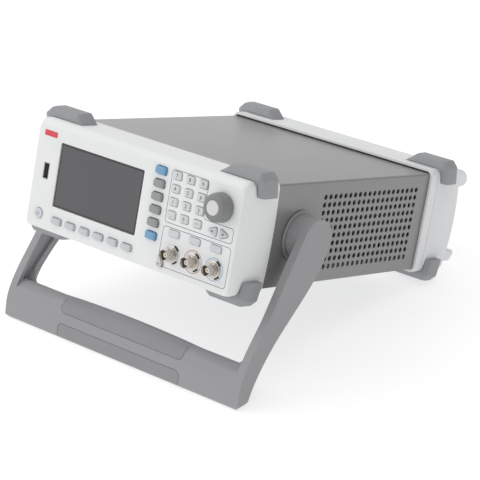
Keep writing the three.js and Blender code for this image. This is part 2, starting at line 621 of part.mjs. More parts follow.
function guardRing(y, rise, out, inset, sideX, sideZ) {
  const baseX = BEZEL_HALF_WIDTH + GAP;
  const baseZ = BEZEL_HALF_HEIGHT + GAP;
  const low = GUARD_SIDE_END + inset;
  const bevel = Math.min(GUARD_BEVEL, rise, out);
  const corners = [
    [GUARD_INNER_END + inset, y, baseZ],
    [baseX, y, baseZ],
    [baseX, y + GUARD_LEAN, low],
    [baseX + out, y + GUARD_LEAN, low],
    [baseX + out, y, baseZ + rise - bevel],
    [baseX + out - bevel, y, baseZ + rise],
    [GUARD_INNER_END + inset + GUARD_RAMP, y, baseZ + rise]];
  const ring = corners.map(([px, py, pz]) => new THREE.Vector3(sideX * px, py, sideZ * pz));
  return sideX * sideZ < 0 ? ring.reverse() : ring;
}

function addGuards() {
  const ends = { front: FRONT_GUARD, rear: REAR_GUARD };
  for (const [end, { start, full, end: back, stop }] of Object.entries(ends)) {
    for (const [row, sideZ] of [['top', 1], ['bottom', -1]]) {
      for (const [side, sideX] of [['left', -1], ['right', 1]]) {
        const guard = skin([
          guardRing(start, 2.6, 1.8, 1.5, sideX, sideZ),
          guardRing(full, GUARD_RISE, GUARD_OUT, 0, sideX, sideZ),
          guardRing(back, GUARD_RISE, GUARD_OUT, 0, sideX, sideZ),
          guardRing(stop, GUARD_RISE - 2, GUARD_OUT - 1.6, 0.8, sideX, sideZ),
        ]);
        place(`${end}_${row}_${side}_guard`, guard, guardRubber);
      }
    }
  }
}

// ---------------------------------------------------------------- handle

const handle = new THREE.Group();
handle.position.set(0, PIVOT.y, PIVOT.z);
instrument.add(handle);

function placeOnHandle(name, shape) {
  const mesh = new THREE.Mesh(toGeometry(shape), handlePlastic);
  mesh.name = name;
  handle.add(mesh);
}

// The standing surface as seen from the pivot.
function footLevel(y) {
  return standingHeight(y + PIVOT.y) - PIVOT.z;
}

// Side view of an arm: a round hub that tapers into a blade and bends down to the grip.
function armOutline() {
  const outline = new THREE.Shape();
  const frontTangent = THREE.MathUtils.degToRad(157);
  const rearTangent = THREE.MathUtils.degToRad(-22);
  outline.absarc(0, 0, HUB_RADIUS, rearTangent, frontTangent, false);
  outline.lineTo(-47.6, -64.5);
  outline.bezierCurveTo(-56, -82, -71.8, -106, -71.6, -126);
  outline.lineTo(-70.6, footLevel(-70.6) + 2.5);
  outline.lineTo(-68, footLevel(-68));
  outline.lineTo(-60, footLevel(-60));
  outline.lineTo(-57.6, footLevel(-57.6) + 2.5);
  outline.bezierCurveTo(-55.5, -125, -50, -110, -38, -91.5);
  outline.bezierCurveTo(-22, -66, 5, -42, 15.6, -13);
  return outline;
}

function gripOutline() {
  const top = -104.5;
  const outline = new THREE.Shape();
  outline.moveTo(-60, footLevel(-60));
  outline.lineTo(-57.6, footLevel(-57.6) + 2.5);
  outline.lineTo(-53.2, top - 15);
  outline.bezierCurveTo(-51, top - 4, -54, top, -59.5, top);
  outline.bezierCurveTo(-66, top, -68.6, top - 4, -70, top - 11);
  outline.quadraticCurveTo(-71.9, -124, -70.6, footLevel(-70.6) + 2.5);
  outline.lineTo(-68, footLevel(-68));
  return outline;
}

function addHandle() {
  placeOnHandle('handle_crossbar', sidePrism(gripOutline(), -GRIP_END, GRIP_END, 5));
  const bladeStart = ARM_OUTER - ARM_THICKNESS;
  const bossStart = COVER_HALF_WIDTH + GAP;
  const hubStart = bossStart + BOSS_THICKNESS + GAP;
  const studEnd = hubStart + 14;
  for (const [side, sideX] of [['left', -1], ['right', 1]]) {
    const blade = sidePrism(armOutline(), ...across(sideX, bladeStart, ARM_OUTER), 8);
    const hub = rodX(HUB_RADIUS, ...across(sideX, hubStart, bladeStart + 1), 0, 0, 40);
    const bore = rodX(STUD_RADIUS + GAP, ...across(sideX, hubStart - 1, studEnd + GAP), 0, 0);
    placeOnHandle(`handle_arm_${side}`, blade.add(hub).subtract(bore));

    const boss = rodX(BOSS_RADIUS, ...across(sideX, bossStart, bossStart + BOSS_THICKNESS),
      PIVOT.y, PIVOT.z, 40);
    const stud = rodX(STUD_RADIUS, ...across(sideX, COVER_HALF_WIDTH - 5, studEnd), PIVOT.y, PIVOT.z);
    place(`handle_pivot_${side}`, boss.add(stud), handlePlastic);
  }
}

// ---------------------------------------------------------------- assembly

addButtons();
addFrontBezel();
addDisplay();
addPanelBoard();
addKnob();
addUsbPort();
addFrontSockets();
addCover();
addTray();
addRearBezel();
addInlet();
addBoards();
addGuards();
addHandle();

const generator = new THREE.Group();
generator.add(instrument);
generator.updateMatrixWorld(true);
const bounds = new THREE.Box3().setFromObject(generator, true);
const middle = bounds.getCenter(new THREE.Vector3());
instrument.position.set(-middle.x, -middle.y, -bounds.min.z);
generator.updateMatrixWorld(true);

export default generator;
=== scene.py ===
import json
import math

import bmesh
import bpy
from mathutils import Matrix, Vector
from mathutils.geometry import delaunay_2d_cdt


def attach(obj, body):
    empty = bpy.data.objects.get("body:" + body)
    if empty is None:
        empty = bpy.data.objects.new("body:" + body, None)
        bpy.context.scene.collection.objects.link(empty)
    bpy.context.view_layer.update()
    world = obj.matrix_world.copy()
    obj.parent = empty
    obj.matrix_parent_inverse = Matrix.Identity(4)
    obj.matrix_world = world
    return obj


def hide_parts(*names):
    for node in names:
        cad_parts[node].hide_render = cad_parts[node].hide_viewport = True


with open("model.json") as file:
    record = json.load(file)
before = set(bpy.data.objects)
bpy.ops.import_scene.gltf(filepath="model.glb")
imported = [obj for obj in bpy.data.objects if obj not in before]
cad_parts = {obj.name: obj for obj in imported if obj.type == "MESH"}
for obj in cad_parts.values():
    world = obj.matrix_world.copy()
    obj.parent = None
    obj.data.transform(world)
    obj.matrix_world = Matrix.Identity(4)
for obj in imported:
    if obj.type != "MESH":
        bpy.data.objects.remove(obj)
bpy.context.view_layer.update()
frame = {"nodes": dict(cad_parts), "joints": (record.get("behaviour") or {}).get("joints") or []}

# ---------------------------------------------------------------- case frame
# Pieces are drawn in millimetres in the case's own frame: X right, Y into the front panel (0 on its
# face), Z up the panel (0 at half height). CASE takes that frame to the row frame in metres.

JOINTS = {joint["name"]: joint for joint in frame["joints"]}
PIVOT = Vector((0, 84, -1))
INTO = Vector(JOINTS["power_button_press"]["axis"]).normalized()
RIGHT = Vector((1, 0, 0))
UP = RIGHT.cross(INTO)
BASIS = Matrix((RIGHT, INTO, UP)).transposed()
ORIGIN = Vector(JOINTS["handle_swing"]["pos_m"]) - BASIS @ PIVOT * 0.001
CASE = Matrix.Translation(ORIGIN) @ BASIS.to_4x4() @ Matrix.Scale(0.001, 4)
TO_CASE = CASE.inverted()
SIDES = ((-1, "left"), (1, "right"))


def case_box(node):
    """Lowest and highest corner of a CAD node in the case frame, in millimetres."""
    points = [TO_CASE @ v.co for v in frame["nodes"][node].data.vertices]
    return (Vector(min(p[i] for p in points) for i in range(3)),
            Vector(max(p[i] for p in points) for i in range(3)))


def middle_of(low, high):
    """Middle of a box as it is seen from the front."""
    return (low.x + high.x) / 2, (low.z + high.z) / 2


def standing_height(y):
    """Height of the floor in the case frame at y."""
    return (-y * INTO.z - 1000 * ORIGIN.z) / UP.z


# ---------------------------------------------------------------- materials

def srgb(r, g, b):
    return tuple(((c / 255 + 0.055) / 1.055) ** 2.4 if c > 10 else c / 3294.6 for c in (r, g, b)) + (1,)


def surface(name, colour, rough, grain=2200, bump=0.1, mottle=0.03, rough_spread=0.06, edge_highlight=0.0,
            metallic=0.0, coat=0.0, depth=0.00006, patch=28, **sockets):
    """A moulded, painted or metal surface: broad colour drift, fine grain in the gloss and the relief,
    and a painted highlight that lightens sharp convex edges where asked."""
    made = bpy.data.materials.new(name)
    made.use_nodes = True
    nodes = made.node_tree.nodes
    link = made.node_tree.links.new
    shader = nodes["Principled BSDF"]
    shader.inputs["Metallic"].default_value = metallic
    shader.inputs["Coat Weight"].default_value = coat
    for socket, value in sockets.items():
        shader.inputs[socket.replace("_", " ")].default_value = value
    place = nodes.new("ShaderNodeTexCoord")

    def noise(scale, detail):
        texture = nodes.new("ShaderNodeTexNoise")
        texture.inputs["Scale"].default_value = scale
        texture.inputs["Detail"].default_value = detail
        link(place.outputs["Object"], texture.inputs["Vector"])
        return texture

    broad, fine = noise(patch, 5), noise(grain, 3)

    tone = nodes.new("ShaderNodeValToRGB")
    dark = [c * (1 - mottle) for c in colour[:3]] + [1]
    light = [min(1, c * (1 + mottle)) for c in colour[:3]] + [1]
    tone.color_ramp.elements[0].position = 0.3
    tone.color_ramp.elements[0].color = dark
    tone.color_ramp.elements[1].position = 0.7
    tone.color_ramp.elements[1].color = light
    link(broad.outputs["Fac"], tone.inputs["Fac"])
    colour_out = tone.outputs["Color"]
    # painted highlight: sharp convex edges, found by their pointiness, get a lighter colour
    if edge_highlight:
        geometry = nodes.new("ShaderNodeNewGeometry")
        edge = nodes.new("ShaderNodeMapRange")
        edge.inputs["From Min"].default_value = 0.52
        edge.inputs["From Max"].default_value = 0.62
        edge.inputs["To Max"].default_value = edge_highlight
        link(geometry.outputs["Pointiness"], edge.inputs["Value"])
        highlighted = nodes.new("ShaderNodeMix")
        highlighted.data_type = "RGBA"
        highlighted.inputs["B"].default_value = [min(1, c * 1.5 + 0.03) for c in colour[:3]] + [1]
        link(edge.outputs["Result"], highlighted.inputs["Factor"])
        link(colour_out, highlighted.inputs["A"])
        colour_out = highlighted.outputs["Result"]
    link(colour_out, shader.inputs["Base Color"])

    gloss = nodes.new("ShaderNodeMapRange")
    gloss.inputs["From Min"].default_value = 0.3
    gloss.inputs["From Max"].default_value = 0.7
    gloss.inputs["To Min"].default_value = rough - rough_spread
    gloss.inputs["To Max"].default_value = rough + rough_spread
    link(fine.outputs["Fac"], gloss.inputs["Value"])
    link(gloss.outputs["Result"], shader.inputs["Roughness"])
    relief = nodes.new("ShaderNodeBump")
    relief.inputs["Strength"].default_value = bump
    relief.inputs["Distance"].default_value = depth
    link(fine.outputs["Fac"], relief.inputs["Height"])
    link(relief.outputs["Normal"], shader.inputs["Normal"])
    return made


# Guard, handle, knob, nickel and black plastic get a painted highlight on their sharp convex edges.
PANEL = surface("panel_plastic", srgb(233, 234, 234), 0.42, bump=0.25, mottle=0.012)
REAR = surface("rear_plastic", srgb(228, 229, 230), 0.45, bump=0.25, mottle=0.015)
PAINT = surface("cover_paint", srgb(127, 127, 128), 0.32, grain=1500, bump=0.3, mottle=0.02,
                Specular_IOR_Level=1.0)
GUARD = surface("guard_rubber", srgb(151, 152, 155), 0.6, grain=1900, bump=0.4, mottle=0.025, edge_highlight=0.2)
HANDLE = surface("handle_plastic", srgb(146, 146, 148), 0.5, grain=2000, bump=0.3, mottle=0.02, edge_highlight=0.2)
GRIP = surface("grip_rubber", srgb(145, 145, 147), 0.62, grain=1500, bump=0.5, mottle=0.02)
PALE_KEY = surface("pale_key_rubber", srgb(200, 203, 207), 0.5, bump=0.2, mottle=0.015)
GREY_KEY = surface("grey_key_rubber", srgb(150, 151, 153), 0.5, bump=0.2, mottle=0.015)
BLUE_KEY = surface("blue_key_rubber", srgb(116, 162, 198), 0.42, bump=0.2, mottle=0.02)
WHITE_KEY = surface("white_key_rubber", srgb(212, 213, 215), 0.45, bump=0.2, mottle=0.01)
OUTPUT_KEY = surface("output_key_silicone", srgb(207, 211, 216), 0.35, bump=0.12, mottle=0.02, coat=0.2)
KNOB = surface("knob_rubber", srgb(132, 133, 134), 0.6, grain=2600, bump=0.45, mottle=0.02, edge_highlight=0.2)
KNOB_CAP = surface("knob_cap", srgb(216, 216, 217), 0.35, bump=0.1, mottle=0.01)
GLASS = surface("window_pane", srgb(80, 79, 82), 0.16, grain=600, bump=0.02, mottle=0.05,
                rough_spread=0.02, coat=0.4, patch=9)
# dark border round the screen: its black mask, and also painted shadow of the recess round the pane
BORDER_AND_SHADE = surface("window_border_and_shade", srgb(44, 44, 47), 0.14, grain=600, bump=0.02, mottle=0.04, coat=0.4)
NICKEL = surface("nickel", srgb(200, 196, 189), 0.26, grain=900, bump=0.08, mottle=0.06, metallic=1.0,
                 rough_spread=0.08, edge_highlight=0.2)
GOLD = surface("gold_contact", srgb(238, 190, 96), 0.22, bump=0.05, mottle=0.04, metallic=1.0)
INSULATOR = surface("white_insulator", srgb(240, 238, 232), 0.5, bump=0.1, mottle=0.02)
STEEL = surface("zinc_sheet", srgb(176, 179, 182), 0.38, grain=700, bump=0.1, mottle=0.08, metallic=0.9,
                rough_spread=0.1, patch=70)
BLACK = surface("black_plastic", srgb(26, 26, 28), 0.45, bump=0.3, mottle=0.06, edge_highlight=0.1)
BOARD = surface("board_green", srgb(34, 104, 62), 0.5, grain=400, bump=0.3, mottle=0.2, patch=160)
SCREEN_FRAME = surface("module_frame", srgb(140, 141, 144), 0.4, grain=700, mottle=0.05, metallic=0.6)
INK = surface("grey_ink", srgb(74, 80, 89), 0.5, bump=0.05, mottle=0.03)
DARK_INK = surface("dark_ink", srgb(52, 56, 62), 0.5, bump=0.05, mottle=0.03)
RED_INK = surface("red_ink", srgb(205, 72, 78), 0.45, bump=0.05, mottle=0.03)
BLUE_INK = surface("blue_ink", srgb(120, 165, 205), 0.45, bump=0.05, mottle=0.03)
BADGE = surface("red_badge", srgb(216, 58, 74), 0.3, grain=900, bump=0.05, mottle=0.03, coat=0.4)
FLOOR = surface("studio_floor", srgb(188, 188, 189), 0.9, grain=40, bump=0.0, mottle=0.004, patch=3,
                Emission_Color=(1, 1, 1, 1), Emission_Strength=0.62, Specular_IOR_Level=0.1)


# ---------------------------------------------------------------- outlines

def points_of(pairs):
    return [Vector(p) for p in pairs]


def arc_points(x, z, radius, start, end, steps):
    """Points round (x, z) from start to end, in degrees."""
    angles = [math.radians(start + (end - start) * i / steps) for i in range(steps + 1)]
    return [Vector((x + radius * math.cos(a), z + radius * math.sin(a))) for a in angles]


def rounded(x0, x1, z0, z1, radius, corner=6, side=1):
    """A rounded rectangle, anticlockwise, with extra points along its sides."""
    centres = [(x1 - radius, z0 + radius, -90), (x1 - radius, z1 - radius, 0),
               (x0 + radius, z1 - radius, 90), (x0 + radius, z0 + radius, 180)]
    outline = [p for cx, cz, start in centres
               for p in arc_points(cx, cz, radius, start, start + 90, corner)]
    if side == 1:
        return outline
    filled = []
    for i, p in enumerate(outline):
        filled.append(p)
        if i % (corner + 1) == corner:
            q = outline[(i + 1) % len(outline)]
            filled += [p.lerp(q, k / side) for k in range(1, side)]
    return filled


def circle(x, z, radius, steps=32):
    return [Vector((x + radius * math.cos(2 * math.pi * i / steps),
                    z + radius * math.sin(2 * math.pi * i / steps))) for i in range(steps)]


def bezier(p0, p1, p2, p3, steps):
    p0, p1, p2, p3 = points_of((p0, p1, p2, p3))
    curve = []
    for i in range(1, steps + 1):
        t = i / steps
        curve.append((1 - t) ** 3 * p0 + 3 * t * (1 - t) ** 2 * p1 + 3 * t * t * (1 - t) * p2 + t ** 3 * p3)
    return curve


def offset(outline, distance):
    """An anticlockwise outline moved outwards, or inwards where distance is negative."""
    moved = []
    for i, p in enumerate(outline):
        before = (p - outline[i - 1]).normalized()
        after = (outline[(i + 1) % len(outline)] - p).normalized()
        n0 = Vector((before.y, -before.x))
        n1 = Vector((after.y, -after.x))
        middle = (n0 + n1).normalized()
        moved.append(p + middle * (distance / max(middle.dot(n0), 0.4)))
    return moved


def mix(a, b, t):
    return [p.lerp(q, t) for p, q in zip(a, b)]


def inside(p, outline):
    crossing = False
    for i, a in enumerate(outline):
        b = outline[i - 1]
        if (a.y > p.y) != (b.y > p.y) and p.x < (b.x - a.x) * (p.y - a.y) / (b.y - a.y) + a.x:
            crossing = not crossing
    return crossing


# ---------------------------------------------------------------- mesh building

def front(outline, y):
    """Outline points placed on the plane at y."""
    return [(p.x, y, p.y) for p in outline]


def skin(bm, rings, start=True, end=True):
    """Joins rings of equal length, with faces over the first and last where asked."""
    rows = [[bm.verts.new(p) for p in ring] for ring in rings]
    for a, b in zip(rows, rows[1:]):
        for i in range(len(a)):
            j = (i + 1) % len(a)
            bm.faces.new((a[i], a[j], b[j], b[i]))
    if start:
        bm.faces.new(rows[0])
    if end:
        bm.faces.new(rows[-1])
    return bm


def sheet_with_holes(bm, outline, holes, lift):
    """A flat sheet with holes; lift turns a 2D point into a 3D one."""
    loops = [outline] + holes
    points = [p for loop in loops for p in loop]
    edges = []
    for loop in loops:
        first = len(edges)
        edges += [(first + i, first + (i + 1) % len(loop)) for i in range(len(loop))]
    verts, _, faces, *_ = delaunay_2d_cdt(points, edges, [], 0, 1e-5)
    boxes = [(min(p.x for p in h), max(p.x for p in h), min(p.y for p in h), max(p.y for p in h), h)
             for h in holes]
    made = [bm.verts.new(lift(p)) for p in verts]
    for face in faces:
        middle = sum((verts[i] for i in face), Vector((0, 0))) / len(face)
        if not inside(middle, outline):
            continue
        if any(x0 < middle.x < x1 and y0 < middle.y < y1 and inside(middle, h)
               for x0, x1, y0, y1, h in boxes):
            continue
        bm.faces.new([made[i] for i in face])


def soft_cap(outline, y0, y1, radius, crown=0.0, steps=4):
    """A key cap: outline pushed back from y0 to y1, with a rounded front edge and a crowned face."""
    bm = bmesh.new()
    middle = sum(outline, Vector((0, 0))) / len(outline)
    rim = offset(outline, -radius)
    rings = []
    for s in (0.15, 0.45, 0.75):
        rings.append(front([middle + (p - middle) * s for p in rim], y0 + crown * s * s))
    for i in range(steps + 1):
        a = math.pi / 2 * i / steps
        rings.append(front(offset(outline, -radius * (1 - math.sin(a))),
                           y0 + crown + radius * (1 - math.cos(a))))
    rings.append(front(outline, y1))
    return skin(bm, rings)


def turned(profile, x, z, segments):
    """A profile of (radius, y) turned about the line through (x, z)."""
    rings = [front(circle(x, z, max(r, 0.001), segments), y) for r, y in profile]
    closed = profile[0] == profile[-1]
    return skin(bmesh.new(), rings, start=not closed, end=not closed)


def side_prism(outline, x0, x1, bm=None):
    """A side-view outline (y, z) pushed across from x0 to x1."""
    bm = bm or bmesh.new()
    return skin(bm, [[(x0, p.x, p.y) for p in outline], [(x1, p.x, p.y) for p in outline]])


def front_prism(outline, y0, y1, bm=None):
    bm = bm or bmesh.new()
    return skin(bm, [front(outline, y0), front(outline, y1)])


def block(x0, x1, y0, y1, z0, z1, bm=None):
    return front_prism(points_of([(x0, z0), (x1, z0), (x1, z1), (x0, z1)]), y0, y1, bm)


def soften(bm, width, segments=3, angle=30):
    """Rounds every edge sharper than angle."""
    bmesh.ops.recalc_face_normals(bm, faces=bm.faces)
    edges = [e for e in bm.edges if e.is_manifold and e.calc_face_angle(0) > math.radians(angle)]
    bmesh.ops.bevel(bm, geom=edges, offset=width, offset_type="OFFSET", segments=segments,
                    profile=0.5, affect="EDGES", clamp_overlap=True)
    return bm


def combine(base, tool, operation):
    """Union, difference or intersection of two closed meshes."""
    objects = []
    for i, bm in enumerate((base, tool)):
        bmesh.ops.recalc_face_normals(bm, faces=bm.faces)
        mesh = bpy.data.meshes.new(f"operand_{i}")
        bm.to_mesh(mesh)
        bm.free()
        objects.append(bpy.data.objects.new(mesh.name, mesh))
        bpy.context.scene.collection.objects.link(objects[-1])
    modifier = objects[0].modifiers.new("combine", "BOOLEAN")
    modifier.operation = operation
    modifier.solver = "EXACT"
    modifier.object = objects[1]
    bpy.context.view_layer.update()
    result = bmesh.new()
    result.from_mesh(objects[0].evaluated_get(bpy.context.evaluated_depsgraph_get()).data)
    for obj in objects:
        mesh = obj.data
        bpy.data.objects.remove(obj)
        bpy.data.meshes.remove(mesh)
    bmesh.ops.remove_doubles(result, verts=result.verts, dist=0.002)
    return result


def piece(name, bm, body, finish, replaces=(), smooth=32, extra=()):
    """Turns a mesh drawn in the case frame into a piece that rides on a body."""
    bmesh.ops.recalc_face_normals(bm, faces=bm.faces)
    bm.transform(CASE)
    mesh = bpy.data.meshes.new(name)
    bm.to_mesh(mesh)
    bm.free()
    for made in (finish, *extra):
        mesh.materials.append(made)
    mesh.shade_smooth()
    mesh.set_sharp_from_angle(angle=math.radians(smooth))
    obj = bpy.data.objects.new(name, mesh)
    bpy.context.scene.collection.objects.link(obj)
    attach(obj, body)
    if replaces:
        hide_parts(*replaces)
    return obj


# ---------------------------------------------------------------- keys

KEY_RADIUS = {"softkey": 1.6, "function": 1.6, "key": 1.4, "output": 1.4}
CAP_RELIEF = {"softkey": 0.26, "function": 0.26, "key": 0.16}
GAP = 0.3


def arrow_outline(x, z, width, height, side):
    """A rounded triangle that points to the side given by its sign."""
    radius = 1.6
    tip = width / 2 - radius
    half = height / 2 - radius
    outline = []
    for cx, cz, start, end in ((-tip, -half, 180, 290), (tip, 0, -60, 60), (-tip, half, 70, 180)):
        for i in range(7):
            a = math.radians(start + (end - start) * i / 6)
            outline.append(Vector((x + side * (cx + radius * math.cos(a)), z + cz + radius * math.sin(a))))
    return outline if side > 0 else outline[::-1]


def key_outline(node):
    low, high = case_box(node)
    x, z = middle_of(low, high)
    if node == "power_button":
        return circle(x, z, (high.x - low.x) / 2, 40)
    if node.startswith("arrow_key"):
        return arrow_outline(x, z, high.x - low.x, high.z - low.z, 1 if node.endswith("right") else -1)
    return rounded(low.x, high.x, low.z, high.z, KEY_RADIUS[node.split("_")[0]], 6)


def key_finish(node):
    if node.startswith("function_key"):
        return (BLUE_KEY, "blue_key") if node[-1] in "16" else (GREY_KEY, "grey_key")
    if node.startswith("key_"):
        return WHITE_KEY, "white_key"
    if node.startswith("output_key") or node == "power_button":
        return OUTPUT_KEY, "output_key"
    return PALE_KEY, "pale_key"


PANEL_BODIES = [joint["child"] for joint in frame["joints"] if joint["name"].endswith("_press")]
HOLES = []


def build_keys():
    for node in PANEL_BODIES:
        low, high = case_box(node)
        outline = key_outline(node)
        HOLES.append(offset(outline, GAP))
        finish, slot = key_finish(node)
        flat = node.startswith("output") or node == "power_button"
        outline = offset(outline, -CAP_RELIEF.get(node.split("_")[0], 0))
        cap = soft_cap(outline, low.y, high.y, 0.4 if flat else 0.9, crown=0.1 if flat else 0.35)
        piece(f"{node}_cap", cap, node, finish, replaces=(node,), smooth=50)


# ---------------------------------------------------------------- print on the panel

PRINT_LEVEL = -0.03
INK_LIFT = 0.02
OUTLINE_RADIUS = 3.0
OUTLINE_WIDTH = 0.45
CHANNEL_RING = 9.6


def strip(outline, width):
    """A thin printed line along a closed outline, just proud of the panel."""
    bm = bmesh.new()
    inner = front(offset(outline, -width / 2), PRINT_LEVEL)
    outer = front(offset(outline, width / 2), PRINT_LEVEL)
    return skin(bm, [inner, outer], start=False, end=False)


def printed_line(name, outline, width, ink):
    piece(name, strip(outline, width), "case", ink)


def character(text, size, x, y, z):
    """A character drawn flat on the plane at y, centred on (x, z)."""
    curve = bpy.data.curves.new("character", "FONT")
    curve.body = text
    curve.size = size
    curve.align_x = "CENTER"
    curve.align_y = "CENTER"
    obj = bpy.data.objects.new("character", curve)
    bpy.context.scene.collection.objects.link(obj)
    bpy.context.view_layer.update()
    mesh = bpy.data.meshes.new_from_object(obj.evaluated_get(bpy.context.evaluated_depsgraph_get()))
    bm = bmesh.new()
    bm.from_mesh(mesh)
    for v in bm.verts:
        v.co = (x + v.co.x, y, z + v.co.y)
    bpy.data.objects.remove(obj)
    bpy.data.meshes.remove(mesh)
    return bm


def build_print():
    lower = rounded(39.3, 113.6, -42.3, -7.7, OUTLINE_RADIUS, 6)
    printed_line("output_outline", lower, OUTLINE_WIDTH, INK)
    corners = [(39.5, -4.3, 180, 270), (113.1, -4.3, 270, 360), (113.1, 8.5, 0, 90),
               (79.6, 8.5, None, None), (79.6, 40.9, 0, 90), (39.5, 40.9, 90, 180)]
    r = OUTLINE_RADIUS
    outline = []
    for x, z, start, end in corners:
        if start is None:
            outline += arc_points(x + r, z + r, r, 270, 180, 6)
            continue
        cx = x + r if 90 <= start < 270 else x - r
        cz = z - r if start < 180 else z + r
        outline += arc_points(cx, cz, r, start, end, 6)
    printed_line("keypad_outline", outline, OUTLINE_WIDTH, INK)
    for channel, ink in ((1, RED_INK), (2, BLUE_INK)):
        ring = circle(*middle_of(*case_box(f"bnc_ch{channel}")), CHANNEL_RING, 72)
        printed_line(f"channel_{channel}_ring", ring, 0.5, ink)

    for node in PANEL_BODIES:
        if not node.startswith("key_"):
            continue
        low, high = case_box(node)
        sign = {"point": ".", "sign": "+/-"}.get(node[4:], node[4:])
        x, z = middle_of(low, high)
        digit = character(sign, 4.5 if len(sign) == 1 else 3.0, x, low.y - INK_LIFT, z)
        piece(f"{node}_mark", digit, node, DARK_INK)
    for node, side in (("arrow_key_left", -1), ("arrow_key_right", 1)):
        low, high = case_box(node)
        x, z = middle_of(low, high)
        mark = bmesh.new()
        triangle = [(x + side * 1.2, z), (x - side * 0.8, z + 1.1), (x - side * 0.8, z - 1.1)]
        mark.faces.new([mark.verts.new((px, low.y - INK_LIFT, pz)) for px, pz in triangle])
        piece(f"{node}_mark", mark, node, DARK_INK)
    low, high = case_box("power_button")
    x, z = middle_of(low, high)
    arcs = [arc_points(x, z - 0.1, radius, 130, 410, 20) for radius in (1.5, 1.1)]
    mark = bmesh.new()
    rows = [[mark.verts.new(p) for p in front(row, low.y - INK_LIFT)] for row in arcs]
    for i in range(20):
        mark.faces.new((rows[0][i], rows[0][i + 1], rows[1][i + 1], rows[1][i]))
    bar = points_of([(x - 0.2, z + 0.2), (x + 0.2, z + 0.2), (x + 0.2, z + 2), (x - 0.2, z + 2)])
    mark.faces.new([mark.verts.new(p) for p in front(bar, low.y - INK_LIFT)])
    piece("power_button_mark", mark, "power_button", INK)

    badge = soft_cap(rounded(-110, -95, 34, 39, 0.5, 4), -0.35, 0.3, 0.15)
    piece("blank_badge", badge, "case", BADGE)


# ---------------------------------------------------------------- bezels

FACE = (-117.3, 117.3, -48, 43.4)
RIM = (-119.3, 119.3, -48.8, 48.8)
BOW_HALF = 49.8
FRONT_END = (43, 3)
REAR_END = (314, 7.5)


def bezel_end(z, corner_y, bow):
    """Where the bowed end of a bezel is at height z."""
    t = (z + BOW_HALF) / (2 * BOW_HALF)
    return corner_y + 4 * bow * t * (1 - t)


def ring_at(outline, corner_y, bow, shift):
    return [(p.x, bezel_end(p.y, corner_y, bow) + shift, p.y) for p in outline]


def build_front_bezel():
    face = rounded(*FACE, 4, 8, 14)
    rim = rounded(*RIM, 6, 8, 14)
    wall_back = 3
    bm = bmesh.new()
    plate_edge = offset(face, -1.2)
    rings = [front(plate_edge, 0), front(offset(face, -0.6), 0.1), front(mix(face, rim, 0.03), 0.45)]
    rings += [front(mix(face, rim, t), y) for t, y in ((0.16, 1.0), (0.5, 2.5), (0.84, 4.1), (0.95, 4.9))]
    rings += [front(rim, 6.0)]
    rings += [ring_at(rim, *FRONT_END, -8), ring_at(rim, *FRONT_END, -0.7)]
    rings += [ring_at(offset(rim, -0.2), *FRONT_END, -0.2), ring_at(offset(rim, -0.7), *FRONT_END, 0)]
    inner = offset(rim, -2.3)
    rings += [ring_at(inner, *FRONT_END, 0), front(inner, wall_back)]
    skin(bm, rings, start=False, end=False)

    lips, backs = [], []

    def opening(outline, lip):
        rings = [front(offset(outline, lip * (1 - math.sin(a))), lip * (1 - math.cos(a)))
                 for a in (math.radians(30 * i) for i in range(4))]
        skin(bm, rings + [front(outline, wall_back)], start=False, end=False)
        lips.append(offset(outline, lip))
        backs.append(outline)

    for hole in HOLES:
        opening(hole, 0.45)
    low, high = case_box("display_window")
    opening(rounded(low.x - GAP, high.x + GAP, low.z - GAP, high.z + GAP, 1.2, 5), 0.8)
    low, high = case_box("usb_host_port")
    opening(rounded(low.x - GAP, high.x + GAP, low.z - GAP, high.z + GAP, 0.7, 4), 0.4)
    for node in ("bnc_sync", "bnc_ch1", "bnc_ch2"):
        low, high = case_box(node)
        opening(circle(*middle_of(low, high), 6.9, 48), 0.3)
    low, high = case_box("ground_terminal")
    opening(circle(*middle_of(low, high), 3.3, 32), 0.3)
    low, high = case_box("tuning_knob")
    opening(circle(*middle_of(low, high), 4.0, 32), 0.3)

    sheet_with_holes(bm, plate_edge, lips, lambda p: (p.x, 0, p.y))
    sheet_with_holes(bm, inner, backs, lambda p: (p.x, wall_back, p.y))
    bmesh.ops.remove_doubles(bm, verts=bm.verts, dist=0.01)
    piece("front_bezel_shell", bm, "case", PANEL, replaces=("front_bezel",), smooth=28)


